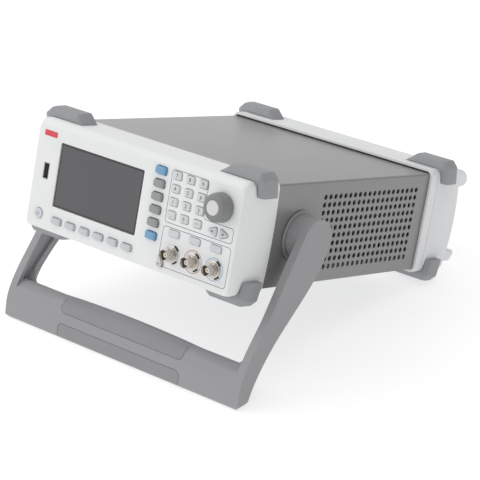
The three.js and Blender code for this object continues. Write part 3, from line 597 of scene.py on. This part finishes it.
def build_rear_bezel():
    rim = rounded(*RIM, 6, 8, 14)
    start = case_box("rear_bezel")[0].y
    inner = offset(rim, -2.4)
    flange = rounded(-111.9, 111.9, -40.3, 40.3, 2, 8, 14)
    groove = 281.2
    rings = [front(offset(rim, drop), start + dy) for drop, dy in ((-0.6, 0), (-0.15, 0.2))]
    rings += [front(rim, start + 0.7)]
    rings += [front(offset(rim, drop), groove + dy)
              for drop, dy in ((0, -0.7), (-0.1, -0.5), (-0.5, -0.4), (-0.5, 0.4), (-0.1, 0.5), (0, 0.7))]
    rings += [ring_at(rim, *REAR_END, -0.9), ring_at(offset(rim, -0.25), *REAR_END, -0.25)]
    rings += [ring_at(offset(rim, -0.9), *REAR_END, 0), ring_at(inner, *REAR_END, 0)]
    rings += [front(inner, 304.5), front(flange, 304.5), front(flange, 301.5), front(inner, 301.5)]
    rings += [front(inner, start)]
    bm = bmesh.new()
    skin(bm, rings + [rings[0]], start=False, end=False)
    bmesh.ops.remove_doubles(bm, verts=bm.verts, dist=0.01)
    piece("rear_bezel_shell", bm, "case", REAR, replaces=("rear_bezel",), smooth=28)

    feet = {"top": [(302.5, 29.1), (302.5, 48.4), (315, 48.4), (329, 45.3), (333.8, 41.5), (336, 35.4),
                    (332.6, 31.4), (320.6, 29.1)],
            "bottom": [(302.5, -41.9), (302.5, -30.3), (325, -30.3), (334.5, -31.6), (336, -34.5),
                       (330.8, -41.9)]}
    for side, hand in SIDES:
        for row, profile in feet.items():
            foot = side_prism(points_of(profile), *sorted((side * 99, side * 116.7)))
            piece(f"rear_foot_{row}_{hand}", soften(foot, 1.5, 4, 12), "case", REAR,
                  smooth=40)


# ---------------------------------------------------------------- case cover with its vents

VENT = {"y": 114.6, "z": -32.0, "pitch_y": 7.23, "pitch_z": 6.98, "columns": 20, "rows": 10, "radius": 2.35}


def build_cover():
    low, high = case_box("case_cover")
    outer_x, top, y0, y1 = high.x, high.z, low.y, high.y
    sheet = 1.2
    corner = 2.0
    inner_x = outer_x - sheet
    bm = bmesh.new()
    holes = [circle(VENT["y"] + c * VENT["pitch_y"], VENT["z"] + r * VENT["pitch_z"], VENT["radius"], 16)
             for c in range(VENT["columns"]) for r in range(VENT["rows"])]
    holes.append(circle(PIVOT.y, PIVOT.z, 6.3, 32))
    wall = points_of([(y0, low.z), (y1, low.z), (y1, top - corner), (y0, top - corner)])
    for side in (-1, 1):
        lift = [(lambda p, x=side * x: (x, p.x, p.y)) for x in (outer_x, inner_x)]
        for put in lift:
            sheet_with_holes(bm, wall, holes, put)
        for hole in holes:
            skin(bm, [[put(p) for p in hole] for put in lift], start=False, end=False)
        edges = [(y0, low.z), (y1, low.z)]
        bm.faces.new([bm.verts.new(lift[k](Vector(e))) for k, e in ((0, edges[0]), (0, edges[1]),
                                                                   (1, edges[1]), (1, edges[0]))])
    arc = [math.radians(a) for a in range(0, 91, 15)]
    bend = [[Vector((outer_x - corner + r * math.cos(a), top - corner + r * math.sin(a))) for a in arc]
            for r in (corner, corner - sheet)]
    over = [half + [Vector((-p.x, p.y)) for p in reversed(half)] for half in bend]
    rows = {}
    for k, line in enumerate(over):
        for y in (y0, y1):
            rows[k, y] = [bm.verts.new((p.x, y, p.y)) for p in line]
    for i in range(len(over[0]) - 1):
        for k in (0, 1):
            bm.faces.new((rows[k, y0][i], rows[k, y0][i + 1], rows[k, y1][i + 1], rows[k, y1][i]))
        for y in (y0, y1):
            bm.faces.new((rows[0, y][i], rows[0, y][i + 1], rows[1, y][i + 1], rows[1, y][i]))
    for y in (y0, y1):
        for side in (-1, 1):
            bm.faces.new([bm.verts.new(p) for p in (
                (side * outer_x, y, low.z), (side * outer_x, y, top - corner),
                (side * inner_x, y, top - corner), (side * inner_x, y, low.z))])
    bmesh.ops.remove_doubles(bm, verts=bm.verts, dist=0.01)
    piece("vented_cover", bm, "case", PAINT, replaces=("case_cover",), smooth=24)


def build_screens():
    """A dark perforated screen inside each side wall, and two bright strips that half cover a row."""
    def perforated(rows, shift, z0, z1, depth):
        holes = [circle(VENT["y"] + c * VENT["pitch_y"] + shift, VENT["z"] + r * VENT["pitch_z"],
                        VENT["radius"], 12) for r in rows for c in range(VENT["columns"])]
        outline = rounded(106, 264, z0, z1, 1, 3)
        bm = bmesh.new()
        lift = [(lambda p, x=side * x: (x, p.x, p.y)) for x in depth]
        for put in lift:
            sheet_with_holes(bm, outline, holes, put)
        for loop in holes + [outline]:
            skin(bm, [[put(p) for p in loop] for put in lift], start=False, end=False)
        bmesh.ops.remove_doubles(bm, verts=bm.verts, dist=0.01)
        return bm

    for side, hand in SIDES:
        screen = perforated(range(VENT["rows"]), 0, -37.5, 38, (113.4, 112.6))
        piece(f"vent_screen_{hand}", screen, "case", BLACK)
        for name, row in (("upper", 7), ("lower", 2)):
            z = VENT["z"] + row * VENT["pitch_z"]
            strip_piece = perforated([row], 2.4, z - 3.2, z + 3.2, (115.2, 114.7))
            piece(f"vent_strip_{name}_{hand}", strip_piece, "case", STEEL)


# ---------------------------------------------------------------- guards

GUARD_SPAN = {"front": (11, 33), "rear": (282, 301.5)}
GUARD_INNER_X = 79
GUARD_INNER_Z = 35.7


def guard_ring(y, rise, out, inset, side_x, side_z):
    base_x, base_z = RIM[1] + GAP, RIM[3] + GAP
    bevel = min(6, rise, out)
    lean = 3.4
    corners = [(GUARD_INNER_X + inset, 0, base_z), (base_x - 5.5, 0, base_z),
               (base_x - 1.75, 0.2, base_z - 1.75),
               (base_x, 0.8, base_z - 5.5), (base_x, lean, GUARD_INNER_Z + inset),
               (base_x + out, lean, GUARD_INNER_Z + inset), (base_x + out, 0, base_z + rise - bevel),
               (base_x + out - bevel, 0, base_z + rise), (GUARD_INNER_X + inset + 9, 0, base_z + rise)]
    return [(side_x * x, y + back, side_z * z) for x, back, z in corners]


def build_guards():
    for node in sorted(n for n in frame["nodes"] if n.endswith("_guard")):
        end, row, hand, _ = node.split("_")
        side_x, side_z = (-1 if hand == "left" else 1), (1 if row == "top" else -1)
        first, last = GUARD_SPAN[end]
        stations = [(first, 1.5, 1.2, 0.5), (first + 2.2, 6.2, 5.2, 0.1), (first + 4, 7.4, 5.4, 0),
                    (first + 9, 8.2, 5.4, 0), (last - 2.2, 8.4, 5.4, 0.2), (last - 0.8, 8.1, 5.1, 0.9),
                    (last, 6.6, 4.0, 2.2)]
        rings = [guard_ring(*station, side_x, side_z) for station in stations]
        guard = soften(skin(bmesh.new(), rings), 0.45, 3, 20)
        piece(f"{node}_rubber", guard, "case", GUARD, replaces=(node,), smooth=24)


# ---------------------------------------------------------------- handle

HUB_RADIUS = 19.3
BLADE = (130.4, 138.0)


def foot_level(y):
    return standing_height(y + PIVOT.y) - PIVOT.z


def in_case(outline):
    return [Vector((p.x + PIVOT.y, p.y + PIVOT.z)) for p in outline]


ARM_FRONT = bezier((-47.6, -64.5), (-56, -82), (-71.8, -106), (-71.6, -126), 14)
BAR_TOP = -104.5
RIB_FRONT = bezier((-54, BAR_TOP + 0.2), (-44, -84), (-18, -60), (-2.5, -24), 12)


TOE = [(-70.6, foot_level(-70.6) + 2.5), (-68, foot_level(-68))]
HEEL = [(-60, foot_level(-60)), (-57.6, foot_level(-57.6) + 2.5)]


def arm_rear():
    """Rear edge of an arm from its foot up to the hub."""
    edge = bezier(HEEL[1], (-55.5, -125), (-50, -110), (-38, -91.5), 12)
    return edge + bezier((-38, -91.5), (-22, -66), (5, -42), (15.6, -13), 16)


def arm_outline():
    """Side view of an arm, from the pivot: round hub, tapering blade, bend down to the grip."""
    outline = arc_points(0, 0, HUB_RADIUS, -22, 157, 36)
    outline += [Vector((-47.6, -64.5))] + ARM_FRONT
    return outline + points_of(TOE + HEEL) + arm_rear()


def grip_section():
    """Section of the crossbar, whose front is the front of the arms."""
    section = points_of(HEEL)
    section += bezier(HEEL[1], (-56.4, -126), (-54.8, -123), (-53.2, BAR_TOP - 15), 4)
    section += bezier((-53.2, BAR_TOP - 15), (-51, BAR_TOP - 4), (-54, BAR_TOP), (-59, BAR_TOP), 8)
    meet = ARM_FRONT[10]
    section += bezier((-59, BAR_TOP), (-63.5, BAR_TOP), (meet.x + 1.8, meet.y + 3.6), meet, 8)
    section += ARM_FRONT[11:]
    return section + points_of(TOE)


def crossbar():
    section = grip_section()
    stations = [-BLADE[0] - 0.6] + [10 * k for k in range(-8, 9)] + [BLADE[0] + 0.6]
    rings = []
    for x in stations:
        swell = 2.2 * max(0.0, 1 - (x / 80) ** 2)
        lifted = [Vector((p.x, p.y + swell * min(1, max(0, (p.y - BAR_TOP + 12) / 12)))) for p in section]
        rings.append([(x, p.x, p.y) for p in in_case(lifted)])
    return skin(bmesh.new(), rings)


def disc(radius, x0, x1, bm, steps=72):
    """A disc on the handle's axis, from x0 to x1."""
    rim = [(PIVOT.y + radius * math.cos(2 * math.pi * i / steps),
            PIVOT.z + radius * math.sin(2 * math.pi * i / steps)) for i in range(steps)]
    return skin(bm, [[(x, y, z) for y, z in rim] for x in (x0, x1)])


def corner_webs():
    """The fillets that carry the rear rib of each arm round onto the crossbar."""
    radius = 13.0
    base, tip = BLADE[0] - radius, BLADE[0] + 0.5
    arc = [Vector((base + radius * math.sin(a), BAR_TOP + radius * (1 - math.cos(a))))
           for a in (math.radians(84 * i / 9) for i in range(10))]
    outline = points_of([(base - 6, BAR_TOP - 1.6), (base, BAR_TOP - 3), (tip, BAR_TOP - 12),
                         (tip, arc[-1].y)])
    outline += arc[::-1]
    low, high = BAR_TOP - 14, BAR_TOP + 14
    rib = points_of([(-57.9, low), (-53.9, BAR_TOP)])
    rib += [Vector((p.x + 0.1, p.y)) for p in RIB_FRONT if BAR_TOP < p.y < high]
    rib += [p for p in arm_rear() if low < p.y < high][::-1]
    plan = [(base - 7, -57), (base - 6, -56.5), (base, -54.6)]
    plan += [(base + radius * math.sin(a), -54.6 + 16 * (1 - math.cos(a))) for a in
             (math.radians(84 * i / 9) for i in range(1, 10))]
    plan += [(tip, -38), (tip, -70), (base - 7, -70)]
    webs, ribs, plans = bmesh.new(), bmesh.new(), bmesh.new()
    for side in (-1, 1):
        placed = [Vector((side * p.x, p.y + PIVOT.z)) for p in outline]
        front_prism(placed, PIVOT.y - 66, PIVOT.y - 25, webs)
        side_prism(in_case(rib), side * (base - 8), side * (tip + 1), ribs)
        skin(plans, [[(side * x, y + PIVOT.y, z) for x, y in plan] for z in (-140, -70)])
    return combine(combine(webs, ribs, "INTERSECT"), plans, "INTERSECT")


def foot_block():
    """Everything above the floor, with rounded lower corners at both sides."""
    outline = rounded(-138.2, 138.2, -0.2, 400, 5.4, 8)
    rings = [[(p.x, y + PIVOT.y, p.y + foot_level(y) + PIVOT.z) for p in outline] for y in (-140, 80)]
    return skin(bmesh.new(), rings)


def channel_outline():
    """The hollow along the inner face of an arm."""
    front_edge = bezier((-20.5, -12), (-36, -48), (-52, -72), (-62.5, BAR_TOP + 0.2), 12)
    return [Vector((-20.5, -12))] + front_edge + [Vector((-54, BAR_TOP + 0.2))] + RIB_FRONT


def build_handle():
    arms, hubs, bores, grooves, hub_guards = (bmesh.new() for _ in range(5))
    for side in (-1, 1):
        side_prism(in_case(arm_outline()), side * BLADE[0], side * BLADE[1], arms)
        disc(HUB_RADIUS, side * 119.1, side * (BLADE[0] + 1), hubs)
        disc(6.3, side * 118, side * 133.4, bores, 32)
        side_prism(in_case(channel_outline()), side * (BLADE[0] - 1), side * (BLADE[0] + 3.2), grooves)
        disc(HUB_RADIUS + 4, side * 120, side * (BLADE[0] + 5), hub_guards, 48)
    solid = combine(arms, crossbar(), "UNION")
    solid = combine(solid, corner_webs(), "UNION")
    solid = combine(solid, hubs, "UNION")
    solid = combine(solid, bores, "DIFFERENCE")
    solid = combine(solid, combine(grooves, hub_guards, "DIFFERENCE"), "DIFFERENCE")
    solid = combine(solid, foot_block(), "INTERSECT")
    pads = {"upper": rounded(-72, 72, PIVOT.z - 117.5, PIVOT.z - 85, 5, 8),
            "lower": rounded(-72, 72, PIVOT.z - 160, PIVOT.z - 127, 5, 8)}
    pocket = (PIVOT.y - 90, PIVOT.y - 64)
    for name, outline in pads.items():
        solid = combine(solid, front_prism(offset(outline, 0.18), *pocket), "DIFFERENCE")
        pad = combine(crossbar(), front_prism(offset(outline, -0.18), *pocket), "INTERSECT")
        piece(f"{name}_grip_pad", soften(pad, 0.3, 2, 50), "handle", GRIP, smooth=40)
    bmesh.ops.dissolve_limit(solid, angle_limit=math.radians(0.6), verts=solid.verts, edges=solid.edges)
    piece("swing_handle", soften(solid, 0.9, 3, 34), "handle", HANDLE,
          replaces=("handle_arm_left", "handle_arm_right", "handle_crossbar"), smooth=36)

    for side, hand in SIDES:
        bm = bmesh.new()
        profile = [(0.01, 111.6), (6, 111.6), (6, 116.9), (21.9, 116.9), (22.4, 117.4), (22.4, 118.2),
                   (22.0, 118.65), (21.4, 118.8), (6, 118.8), (6, 132.6), (5.6, 132.8), (0.01, 132.8)]
        rings = [[(side * x, PIVOT.y + r * math.cos(2 * math.pi * i / 72),
                   PIVOT.z + r * math.sin(2 * math.pi * i / 72)) for i in range(72)] for r, x in profile]
        skin(bm, rings)
        piece(f"pivot_boss_{hand}", bm, "case", HANDLE,
              replaces=(f"handle_pivot_{hand}",))


# ---------------------------------------------------------------- display, knob, connectors

def build_display():
    low, high = case_box("display_window")
    outline = rounded(low.x, high.x, low.z, high.z, 1, 4)
    active = rounded(low.x + 1.6, high.x - 1.6, low.z + 1.8, high.z - 1.6, 0.4, 4)
    bm = bmesh.new()
    rings = [front(active, low.y), front(offset(outline, -0.35), low.y),
             front(offset(outline, -0.1), low.y + 0.1), front(outline, low.y + 0.35), front(outline, high.y)]
    skin(bm, rings)
    bm.faces.ensure_lookup_table()
    # all faces but the active area get the dark border colour, which also paints the recess's shadow
    for face in bm.faces:
        middle = face.calc_center_median()
        face.material_index = 0 if len(face.verts) == len(active) and middle.y < low.y + 0.05 else 1
    piece("display_pane", bm, "case", GLASS, replaces=("display_window",), extra=(BORDER_AND_SHADE,))


def build_knob():
    low, high = case_box("tuning_knob")
    x, z = middle_of(low, high)
    face = low.y
    profile = [(3.3, -0.8), (12.2, -0.8), (12.6, -1.2), (12.55, -2.4), (12.35, -6), (12.0, -8.6),
               (11.5, -10.1), (10.7, -11.2), (9.7, -12.0), (8.5, -12.5), (7.3, face + 0.05),
               (6.7, face + 0.06), (6.5, face + 0.5), (3.3, face + 0.5), (3.3, -0.8)]
    piece("knob_body", turned(profile, x, z, 96), "knob", KNOB,
          replaces=("tuning_knob",), smooth=40)
    cap = [(0.001, face + 0.02), (3.5, face + 0.03), (5.6, face + 0.06), (6.1, face + 0.12),
           (6.35, face + 0.3), (6.4, face + 0.9), (0.001, face + 0.9)]
    piece("knob_cap", turned(cap, x, z, 72), "knob", KNOB_CAP, smooth=40)


BNC_SHELL = [(2.5, 8), (4.1, 8), (4.1, 0.5), (4.3, 0.05), (4.55, 0), (4.85, 0.35), (4.85, 2.2),
             (4.6, 2.4), (4.6, 3.1), (4.85, 3.3), (4.85, 8.2), (5.1, 8.4), (5.1, 9.4), (6.3, 9.5),
             (6.6, 9.8), (6.6, 11), (5.6, 11), (5.6, 18), (2.5, 18), (2.5, 8)]
BNC_CORE = [(0.75, 2.6), (2.0, 2.6), (2.25, 2.9), (2.3, 8.1), (2.3, 8.6), (0.75, 8.6), (0.75, 2.6)]
BNC_PIN = [(0.35, 2.3), (0.6, 2.2), (0.72, 2.4), (0.72, 8.4), (0.35, 8.4), (0.35, 2.3)]


def build_bnc(name, x, z, face, out, body, replaces=()):
    """A bayonet socket whose mouth is at face; out is -1 towards the front and 1 towards the rear."""
    def at(distance):
        return face - out * distance

    def placed(profile):
        return [(radius, at(distance)) for radius, distance in profile]

    bm = turned(placed(BNC_SHELL), x, z, 64)
    lug_y = at(5.5)
    turns = [2 * math.pi * i / 20 for i in range(20)]
    lug = [(x + 1.0 * math.cos(a), lug_y + 1.0 * math.sin(a)) for a in turns]
    for side in (-1, 1):
        skin(bm, [[(x + (px - x) * s, lug_y + (py - lug_y) * s, z + side * h) for px, py in lug]
                  for s, h in ((1.0, 4.6), (1.0, 5.55), (0.8, 5.75))])
    piece(f"{name}_shell", bm, body, NICKEL, replaces=replaces)
    nut = bmesh.new()
    radii = [7.35 if i % 2 else 7.1 for i in range(72)]
    serrated = [Vector((x + r * math.cos(math.pi * i / 36), z + r * math.sin(math.pi * i / 36)))
                for i, r in enumerate(radii)]
    bore = circle(x, z, 5.3, 72)
    skin(nut, [front(bore, at(9.3)), front(offset(serrated, -0.5), at(9.3)), front(serrated, at(9.7)),
               front(serrated, at(10.98)), front(bore, at(10.98)), front(bore, at(9.3))],
         start=False, end=False)
    bmesh.ops.remove_doubles(nut, verts=nut.verts, dist=0.01)
    piece(f"{name}_nut", nut, body, NICKEL)
    piece(f"{name}_insulator", turned(placed(BNC_CORE), x, z, 40), body, INSULATOR)
    piece(f"{name}_contact", turned(placed(BNC_PIN), x, z, 28), body, GOLD)


def build_connectors():
    for node in ("bnc_sync", "bnc_ch1", "bnc_ch2"):
        low, high = case_box(node)
        x, z = middle_of(low, high)
        build_bnc(node, x, z, low.y, -1, "case", (node,))
        # painted shade: flat black arcs in place of the dark inside two gaps beside each socket
        gap_shade = bmesh.new()
        for middle in (55, -55):
            arcs = [arc_points(x, z, r, middle - 20, middle + 20, 10) for r in (7.3, 8.6)]
            front_prism(arcs[0] + arcs[1][::-1], -0.12, -0.02, gap_shade)
        piece(f"{node}_painted_gap_shade", gap_shade, "case", BLACK)

    low, high = case_box("usb_host_port")
    shell = bmesh.new()
    outer = rounded(low.x, high.x, low.z, high.z, 0.8, 4)
    inner = offset(outer, -0.45)
    rings = [front(inner, low.y), front(offset(outer, -0.15), low.y), front(outer, low.y + 0.15),
             front(outer, high.y), front(inner, high.y), front(inner, low.y)]
    skin(shell, rings, start=False, end=False)
    bmesh.ops.remove_doubles(shell, verts=shell.verts, dist=0.01)
    piece("usb_shell", shell, "case", STEEL, replaces=("usb_host_port",))
    back = front_prism(offset(outer, -0.5), high.y - 1.4, high.y - 0.4)
    tongue = block(low.x + 0.9, low.x + 2.9, low.y + 1.2, high.y - 1.2, low.z + 1.5, high.z - 1.5)
    piece("usb_tongue", soften(combine(back, tongue, "UNION"), 0.15, 2), "case", BLACK)
    contacts = bmesh.new()
    for i in range(4):
        z = (low.z + high.z) / 2 + (i - 1.5) * 2.3
        block(low.x + 2.88, low.x + 3.0, low.y + 2.0, high.y - 2, z - 0.5, z + 0.5, contacts)
    piece("usb_contacts", contacts, "case", GOLD)

    low, high = case_box("ground_terminal")
    x, z = middle_of(low, high)
    post = turned([(0.001, low.y + 0.9), (1.0, low.y + 0.9), (1.15, low.y + 0.15), (1.5, low.y), (2.5, low.y),
                   (2.95, low.y + 0.4), (3.0, 8), (0.001, 8)], x, z, 40)
    slot_tool = block(x - 3.2, x + 3.2, low.y - 1, low.y + 0.8, z - 0.35, z + 0.35)
    piece("ground_post", combine(post, slot_tool, "DIFFERENCE"), "case", NICKEL,
          replaces=("ground_terminal",))


# ---------------------------------------------------------------- rear panel

def build_rear_parts():
    mouth = case_box("main_board")[1].y
    for i, x in enumerate((20, 46, 72)):
        build_bnc(f"rear_bnc_{i + 1}", x, -22, mouth, 1, "case")

    low, high = case_box("iec_inlet")
    x, z = middle_of(low, high)
    face = high.y
    rocker_low, rocker_high = case_box("mains_rocker_switch")
    rocker_z = (rocker_low.z + rocker_high.z) / 2
    flange = rounded(low.x, high.x, low.z, high.z, 3, 6)
    body = soften(front_prism(flange, face - 2.4, face), 0.5, 2)
    body = combine(body, block(x - 13.9, x + 13.9, face - 24, face - 2.3, z - 21.9, z + 21.9), "UNION")
    keyway = points_of([(x - 12, z - 17), (x + 12, z - 17), (x + 12, z - 4.5), (x + 8.5, z - 1),
                        (x - 8.5, z - 1), (x - 12, z - 4.5)])
    body = combine(body, front_prism(keyway, face - 15, face + 1), "DIFFERENCE")
    seat = block(x - 10.3, x + 10.3, face - 10, face + 1, rocker_z - 6.8, rocker_z + 6.8)
    body = combine(body, seat, "DIFFERENCE")
    piece("inlet_body", soften(body, 0.25, 2, 50), "case", BLACK, replaces=("iec_inlet",))
    pins = bmesh.new()
    for dx, dz in ((-7, -11), (7, -11), (0, -7)):
        block(x + dx - 1, x + dx + 1, face - 15.5, face - 4.6, z + dz - 2, z + dz + 2, pins)
    piece("inlet_pins", soften(pins, 0.3, 2), "case", NICKEL)

    top, bottom = rocker_z + 6, rocker_z - 6
    profile = points_of([(face - 7, bottom + 1), (face + 0.4, bottom + 0.3), (face - 0.3, rocker_z - 1.5),
                         (face - 0.6, rocker_z), (face - 0.3, rocker_z + 1.5), (face + 0.4, top - 0.3),
                         (face - 7, top - 1)])
    turn = Matrix.Translation((0, face - 3, rocker_z)) @ Matrix.Rotation(math.radians(7), 4, "X") \
        @ Matrix.Translation((0, 3 - face, -rocker_z))
    rocker = soften(side_prism(profile, x - 9.5, x + 9.5), 0.4, 2)
    rocker.transform(turn)
    piece("rocker_cap", rocker, "rocker", BLACK, replaces=("mains_rocker_switch",))

    panel_y = 301.2
    for i, (sx, sz) in enumerate(((-104, 34), (104, 34), (-104, -34), (104, -34), (0, 36), (-40, -34))):
        head = turned([(0.001, panel_y + 1.9), (1.6, panel_y + 1.8), (2.6, panel_y + 1.3),
                       (3.0, panel_y + 0.6),
                       (3.0, panel_y), (0.001, panel_y)], sx, sz, 32)
        for dx, dz in ((1.7, 0.3), (0.3, 1.7)):
            slot_tool = block(sx - dx, sx + dx, panel_y + 0.9, panel_y + 3, sz - dz, sz + dz)
            head = combine(head, slot_tool, "DIFFERENCE")
        piece(f"rear_screw_{i + 1}", head, "case", STEEL)


# ---------------------------------------------------------------- boards behind the vents

BOARD_TOP = -32.4
LEG_PITCH = 1.6
# shields: x0, x1, y0, y1, height; chips: x, y, width, length; capacitors: x, y, radius, height
SHIELDS = ((0, 40, 90, 130, 6), (52, 96, 90, 130, 6), (10, 50, 160, 200, 14))
CHIPS = ((66, 150, 14, 14), (92, 152, 10, 16), (70, 182, 12, 12), (94, 190, 9, 12),
         (-8, 150, 8, 12), (-8, 180, 8, 12), (66, 222, 16, 9), (30, 224, 12, 9))
CAPACITORS = ((0, 230, 5, 14), (14, 246, 5, 14), (92, 232, 4, 10), (92, 246, 4, 10))


def build_main_board():
    sheet = rounded(70, 292, -20, 108, 2, 4)
    bm = bmesh.new()
    levels = ((-0.2, BOARD_TOP - 1.6), (0, BOARD_TOP - 1.4), (0, BOARD_TOP - 0.2), (-0.2, BOARD_TOP))
    rings = [[(p.y, p.x, z) for p in offset(sheet, inset)] for inset, z in levels]
    piece("signal_board", skin(bm, rings), "case", BOARD, replaces=("main_board",))
    for i, (x0, x1, y0, y1, height) in enumerate(SHIELDS):
        can = soften(block(x0, x1, y0, y1, BOARD_TOP - 0.1, BOARD_TOP + height), 0.8, 3)
        top = BOARD_TOP + height
        lid = soften(block(x0 + 1.5, x1 - 1.5, y0 + 1.5, y1 - 1.5, top - 0.2, top + 0.5), 0.3, 2)
        piece(f"board_shield_{i + 1}", combine(can, lid, "UNION"), "case", STEEL)
    chips = bmesh.new()
    legs = bmesh.new()
    for x, y, width, length in CHIPS:
        x0, x1, y0, y1 = x - width / 2, x + width / 2, y - length / 2, y + length / 2
        block(x0, x1, y0, y1, BOARD_TOP + 0.3, BOARD_TOP + 1.9, chips)
        for k in range(int(length // LEG_PITCH)):
            row = y0 + 0.9 + LEG_PITCH * k
            block(x0 - 1, x1 + 1, row - 0.25, row + 0.25, BOARD_TOP, BOARD_TOP + 0.5, legs)
    piece("board_chips", soften(chips, 0.2, 2), "case", BLACK)
    piece("board_chip_legs", legs, "case", STEEL)
    for i, (x, y, radius, height) in enumerate(CAPACITORS):
        profile = [(0.001, 0), (radius, 0), (radius, 1.2), (radius - 0.5, 1.8), (radius, 2.4),
                   (radius, height - 0.6), (radius - 0.6, height), (0.001, height)]
        turns = [2 * math.pi * k / 28 for k in range(28)]
        can = skin(bmesh.new(), [[(x + r * math.cos(a), y + r * math.sin(a), BOARD_TOP + z) for a in turns]
                                 for r, z in profile])
        piece(f"board_capacitor_{i + 1}", can, "case", BLACK)


# ---------------------------------------------------------------- CAD nodes that stay

def finish_cad_nodes():
    finishes = {"chassis_tray": STEEL, "lcd_module": SCREEN_FRAME, "front_panel_board": BOARD,
                "power_supply_board": BOARD}
    for node, made in finishes.items():
        materials = frame["nodes"][node].data.materials
        materials.clear()
        materials.append(made)


# ---------------------------------------------------------------- stage, light and camera

def build_stage():
    bm = bmesh.new()
    bmesh.ops.create_grid(bm, x_segments=1, y_segments=1, size=6)
    mesh = bpy.data.meshes.new("studio_floor")
    bm.to_mesh(mesh)
    bm.free()
    mesh.materials.append(FLOOR)
    floor = bpy.data.objects.new("studio_floor", mesh)
    bpy.context.scene.collection.objects.link(floor)


def area_light(name, location, target, size, energy):
    data = bpy.data.lights.new(name, "AREA")
    data.shape = "RECTANGLE"
    data.size, data.size_y = size
    data.energy = energy
    light = bpy.data.objects.new(name, data)
    light.location = location
    light.rotation_euler = (Vector(target) - Vector(location)).to_track_quat("-Z", "Y").to_euler()
    bpy.context.scene.collection.objects.link(light)


def build_light():
    world = bpy.data.worlds.new("studio")
    world.use_nodes = True
    nodes, link = world.node_tree.nodes, world.node_tree.links.new
    direction = nodes.new("ShaderNodeTexCoord")
    slope = nodes.new("ShaderNodeVectorMath")
    slope.operation = "DOT_PRODUCT"
    slope.inputs[1].default_value = (-0.30, -0.10, -0.04)
    level = nodes.new("ShaderNodeMath")
    level.inputs[1].default_value = 0.72
    link(direction.outputs["Generated"], slope.inputs[0])
    link(slope.outputs["Value"], level.inputs[0])
    link(level.outputs["Value"], nodes["Background"].inputs["Strength"])
    nodes["Background"].inputs["Color"].default_value = (1, 1, 1, 1)
    bpy.context.scene.world = world
    bpy.context.scene.view_settings.view_transform = "Standard"
    area_light("key", (-1.4, -0.9, 1.9), (0, 0, 0.05), (1.8, 1.8), 11)
    area_light("top", (0.1, 0.6, 2.2), (0, 0, 0.1), (1.8, 1.8), 7)


def build_camera():
    data = bpy.data.cameras.new("camera")
    data.lens = 154.79
    data.sensor_width = 36
    data.clip_end = 20
    camera = bpy.data.objects.new("camera", data)
    look = Vector((-0.59104, 0.68416, -0.42730)).normalized()
    level = look.cross(Vector((0, 0, 1))).normalized()
    roll = math.radians(-1.01)
    right = level * math.cos(roll) + level.cross(look) * math.sin(roll)
    turn = Matrix((right, right.cross(look), -look)).transposed()
    place = CASE @ Vector((1110.3, -1301.4, 362.4))
    camera.matrix_world = Matrix.Translation(place) @ turn.to_4x4()
    bpy.context.scene.collection.objects.link(camera)
    bpy.context.scene.camera = camera


build_camera()
build_keys()
build_front_bezel()
build_print()
build_display()
build_knob()
build_connectors()
build_cover()
build_screens()
build_main_board()
build_rear_bezel()
build_guards()
build_handle()
build_rear_parts()
finish_cad_nodes()
build_stage()
build_light()
